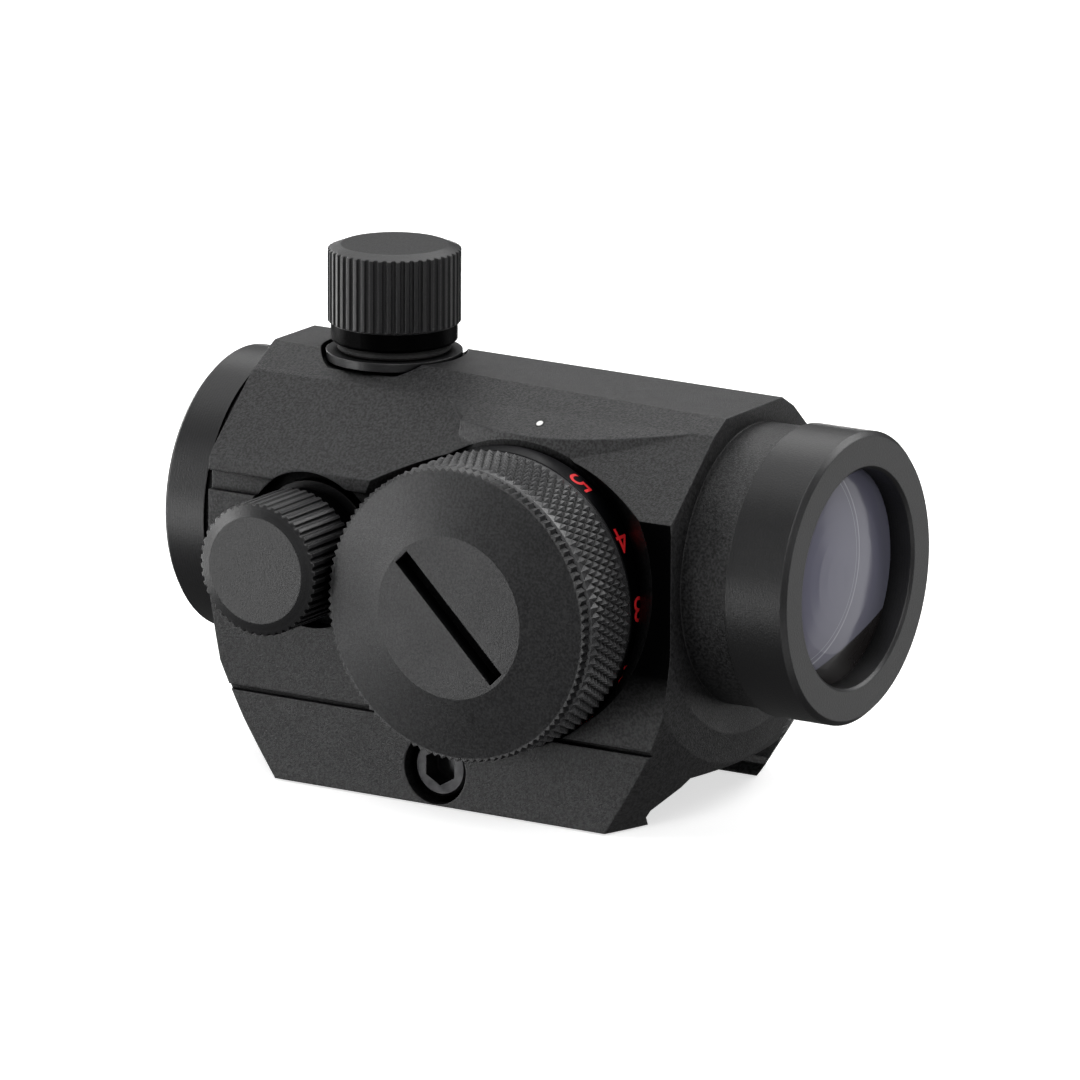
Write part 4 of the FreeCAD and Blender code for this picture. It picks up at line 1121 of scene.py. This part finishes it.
class CarriedPieces:
    """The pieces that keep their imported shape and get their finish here."""

    finishes: dict[str, str] = {
        "housing": "blasted_anodise",
        "objective_bezel": "turned_optic",
        "objective_lens": "coated_glass",
        "objective_retainer": "inner_black",
        "ocular_bezel": "turned_optic",
        "ocular_lens": "clear_glass",
        "ocular_retainer": "inner_black",
        "inner_tube": "inner_black",
        "emitter_mount": "black_plastic",
        "led_emitter": "led_red",
        "return_spring": "spring_steel",
        "elevation_base": "turned_elevation",
        "elevation_screw": "brass",
        "elevation_seal": "rubber",
        "elevation_cap": "turned_elevation",
        "windage_base": "turned_windage",
        "windage_screw": "brass",
        "windage_seal": "rubber",
        "windage_cap": "turned_windage",
        "dial_clip": "spring_steel",
        "detent_ball": "spring_steel",
        "detent_spring": "spring_steel",
        "switch_board": "circuit_board",
        "switch_wiper": "brass",
        "contact_disc": "brass",
        "battery": "cell_steel",
        "battery_spring": "spring_steel",
        "battery_cap": "cap_anodise",
        "battery_cap_seal": "rubber",
        "index_dot": "white_paint",
        "clamp_plate": "blasted_anodise",
        "clamp_screw": "screw_steel",
        "clamp_nut": "screw_steel",
        "guide_pins": "spring_steel",
    }

    def dress(self, nodes: dict[str, bpy.types.Object], book: FinishBook) -> None:
        """Gives every carried-over piece its finish.

        Args:
            nodes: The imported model's objects by name.
            book: The finishes.
        """
        for name, finish in self.finishes.items():
            book.dress(nodes[name], finish)
            LOG.info("%s: %s", name, finish)


# ---------------------------------------------------------------- studio
@dataclass(frozen=True)
class SoftBox:
    """A square soft box; bearing is measured from +X towards +Y, height from the horizon, in degrees."""

    name: str
    bearing: float
    height: float
    power: float
    size: float
    distance: float = 0.6


SOFT_BOXES = (
    SoftBox("top_box", 0.0, 90.0, 1.24, 0.40),
    SoftBox("high_left_front", 150.0, 45.0, 1.93, 0.35),
    SoftBox("high_right_front", 30.0, 45.0, 1.39, 0.35),
    SoftBox("high_left_rear", -150.0, 45.0, 0.71, 0.35),
    SoftBox("high_rear", -90.0, 45.0, 0.50, 0.35),
    SoftBox("side_left_rear", -120.0, 12.0, 1.36, 0.22),
    SoftBox("side_right_rear", -60.0, 12.0, 1.40, 0.22),
    SoftBox("side_front", 90.0, 12.0, 0.62, 0.22),
    SoftBox("side_right_front", 30.0, 12.0, 0.45, 0.22),
    SoftBox("low_left_rear", -150.0, -12.0, 1.30, 0.22),
    SoftBox("low_rear", -90.0, -12.0, 0.98, 0.22),
    SoftBox("low_right_rear", -40.0, -12.0, 0.70, 0.22),
    SoftBox("low_left_front", 150.0, -12.0, 0.20, 0.22),
    SoftBox("low_fill", 55.0, -35.0, 0.40, 0.35),
)


@dataclass
class Studio:
    """The floor, the lights and the camera."""

    azimuth: float = 121.31
    elevation: float = 14.13
    roll: float = 0.29
    distance: float = 0.9107
    shift_right: float = -0.00302
    shift_up: float = -0.00043
    lens: float = 332.4
    floor_z: float = -0.0046
    floor_glow: float = 0.62
    surround: float = 0.106
    sensor: float = 36.0
    clip: tuple[float, float] = (0.01, 20.0)
    floor_size: float = 3.0
    floor_dark: Colour = (0.80, 0.80, 0.80)
    floor_light: Colour = (0.84, 0.84, 0.84)

    def build(self) -> None:
        """Makes the floor, the world, the lamps and the camera."""
        self.floor()
        self.world()
        self.lamps()
        self.camera()
        LOG.info("studio ready")

    def floor(self) -> None:
        """A wide pale floor that lights nothing but itself."""
        bm = bmesh.new()
        bmesh.ops.create_grid(bm, x_segments=1, y_segments=1, size=self.floor_size)
        bmesh.ops.translate(bm, verts=bm.verts, vec=(0, 0, self.floor_z))
        plane = MeshShop.finish(bm, "floor")
        sheet = NodeSheet("pale_floor")
        sheet.set(
            Base_Color=sheet.ramp(sheet.noise(30.0, 2.0), [(0.3, self.floor_dark), (0.7, self.floor_light)]),
            Roughness=1.0,
            Specular_IOR_Level=0.0,
            Emission_Color=(1.0, 1.0, 1.0, 1.0),
            Emission_Strength=self.floor_glow,
        )
        plane.data.materials.append(sheet.material)
        plane.visible_diffuse = False
        plane.visible_glossy = False
        plane.visible_shadow = False

    def world(self) -> None:
        """A dim even surround, and plain colours without a film curve."""
        world = bpy.data.worlds.new("surround")
        world.use_nodes = True
        background = world.node_tree.nodes["Background"]
        background.inputs["Color"].default_value = (1.0, 1.0, 1.0, 1.0)
        background.inputs["Strength"].default_value = self.surround
        bpy.context.scene.world = world
        bpy.context.scene.view_settings.view_transform = "Standard"

    def lamp(self, box: SoftBox) -> None:
        """An area lamp that looks at the middle of the finder.

        Args:
            box: Its place, size and power.
        """
        data = bpy.data.lights.new(box.name, "AREA")
        data.shape = "SQUARE"
        data.size = box.size
        data.energy = box.power
        lamp = bpy.data.objects.new(box.name, data)
        a, e = math.radians(box.bearing), math.radians(box.height)
        back = Vector((math.cos(a) * math.cos(e), math.sin(a) * math.cos(e), math.sin(e)))
        lamp.location = Vector(OPTICAL_AXIS) + back * box.distance
        lamp.rotation_euler = (-back).to_track_quat("-Z", "Y").to_euler()
        lamp.visible_camera = False
        bpy.context.scene.collection.objects.link(lamp)

    def lamps(self) -> None:
        """A ring of soft boxes: a broad one above, high ones round the sides and low ones for the sheen."""
        for box in SOFT_BOXES:
            self.lamp(box)

    def camera(self) -> None:
        """The camera, level but for a slight roll."""
        a, e, r = (math.radians(v) for v in (self.azimuth, self.elevation, self.roll))
        right = Vector((math.cos(a), math.sin(a), 0.0))
        back = Vector((math.sin(a) * math.cos(e), -math.cos(a) * math.cos(e), math.sin(e)))
        up = back.cross(right)
        rolled_right = right * math.cos(r) + up * math.sin(r)
        rolled_up = up * math.cos(r) - right * math.sin(r)
        data = bpy.data.cameras.new("camera")
        data.lens = self.lens
        data.sensor_width = self.sensor
        data.clip_start, data.clip_end = self.clip
        camera = bpy.data.objects.new("camera", data)
        turn = Matrix((rolled_right, rolled_up, back)).transposed().to_4x4()
        place = Vector(OPTICAL_AXIS) + rolled_right * self.shift_right + rolled_up * self.shift_up
        camera.matrix_world = Matrix.Translation(place + back * self.distance) @ turn
        bpy.context.scene.collection.objects.link(camera)
        bpy.context.scene.camera = camera


def main() -> None:
    """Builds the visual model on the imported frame."""
    logging.basicConfig(level=logging.INFO, format="%(name)s: %(message)s")
    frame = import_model()
    book = FinishBook()
    CarriedPieces().dress(frame["nodes"], book)
    BrightnessDial().build(book)
    Studio().build()


if __name__ == "__main__":
    main()
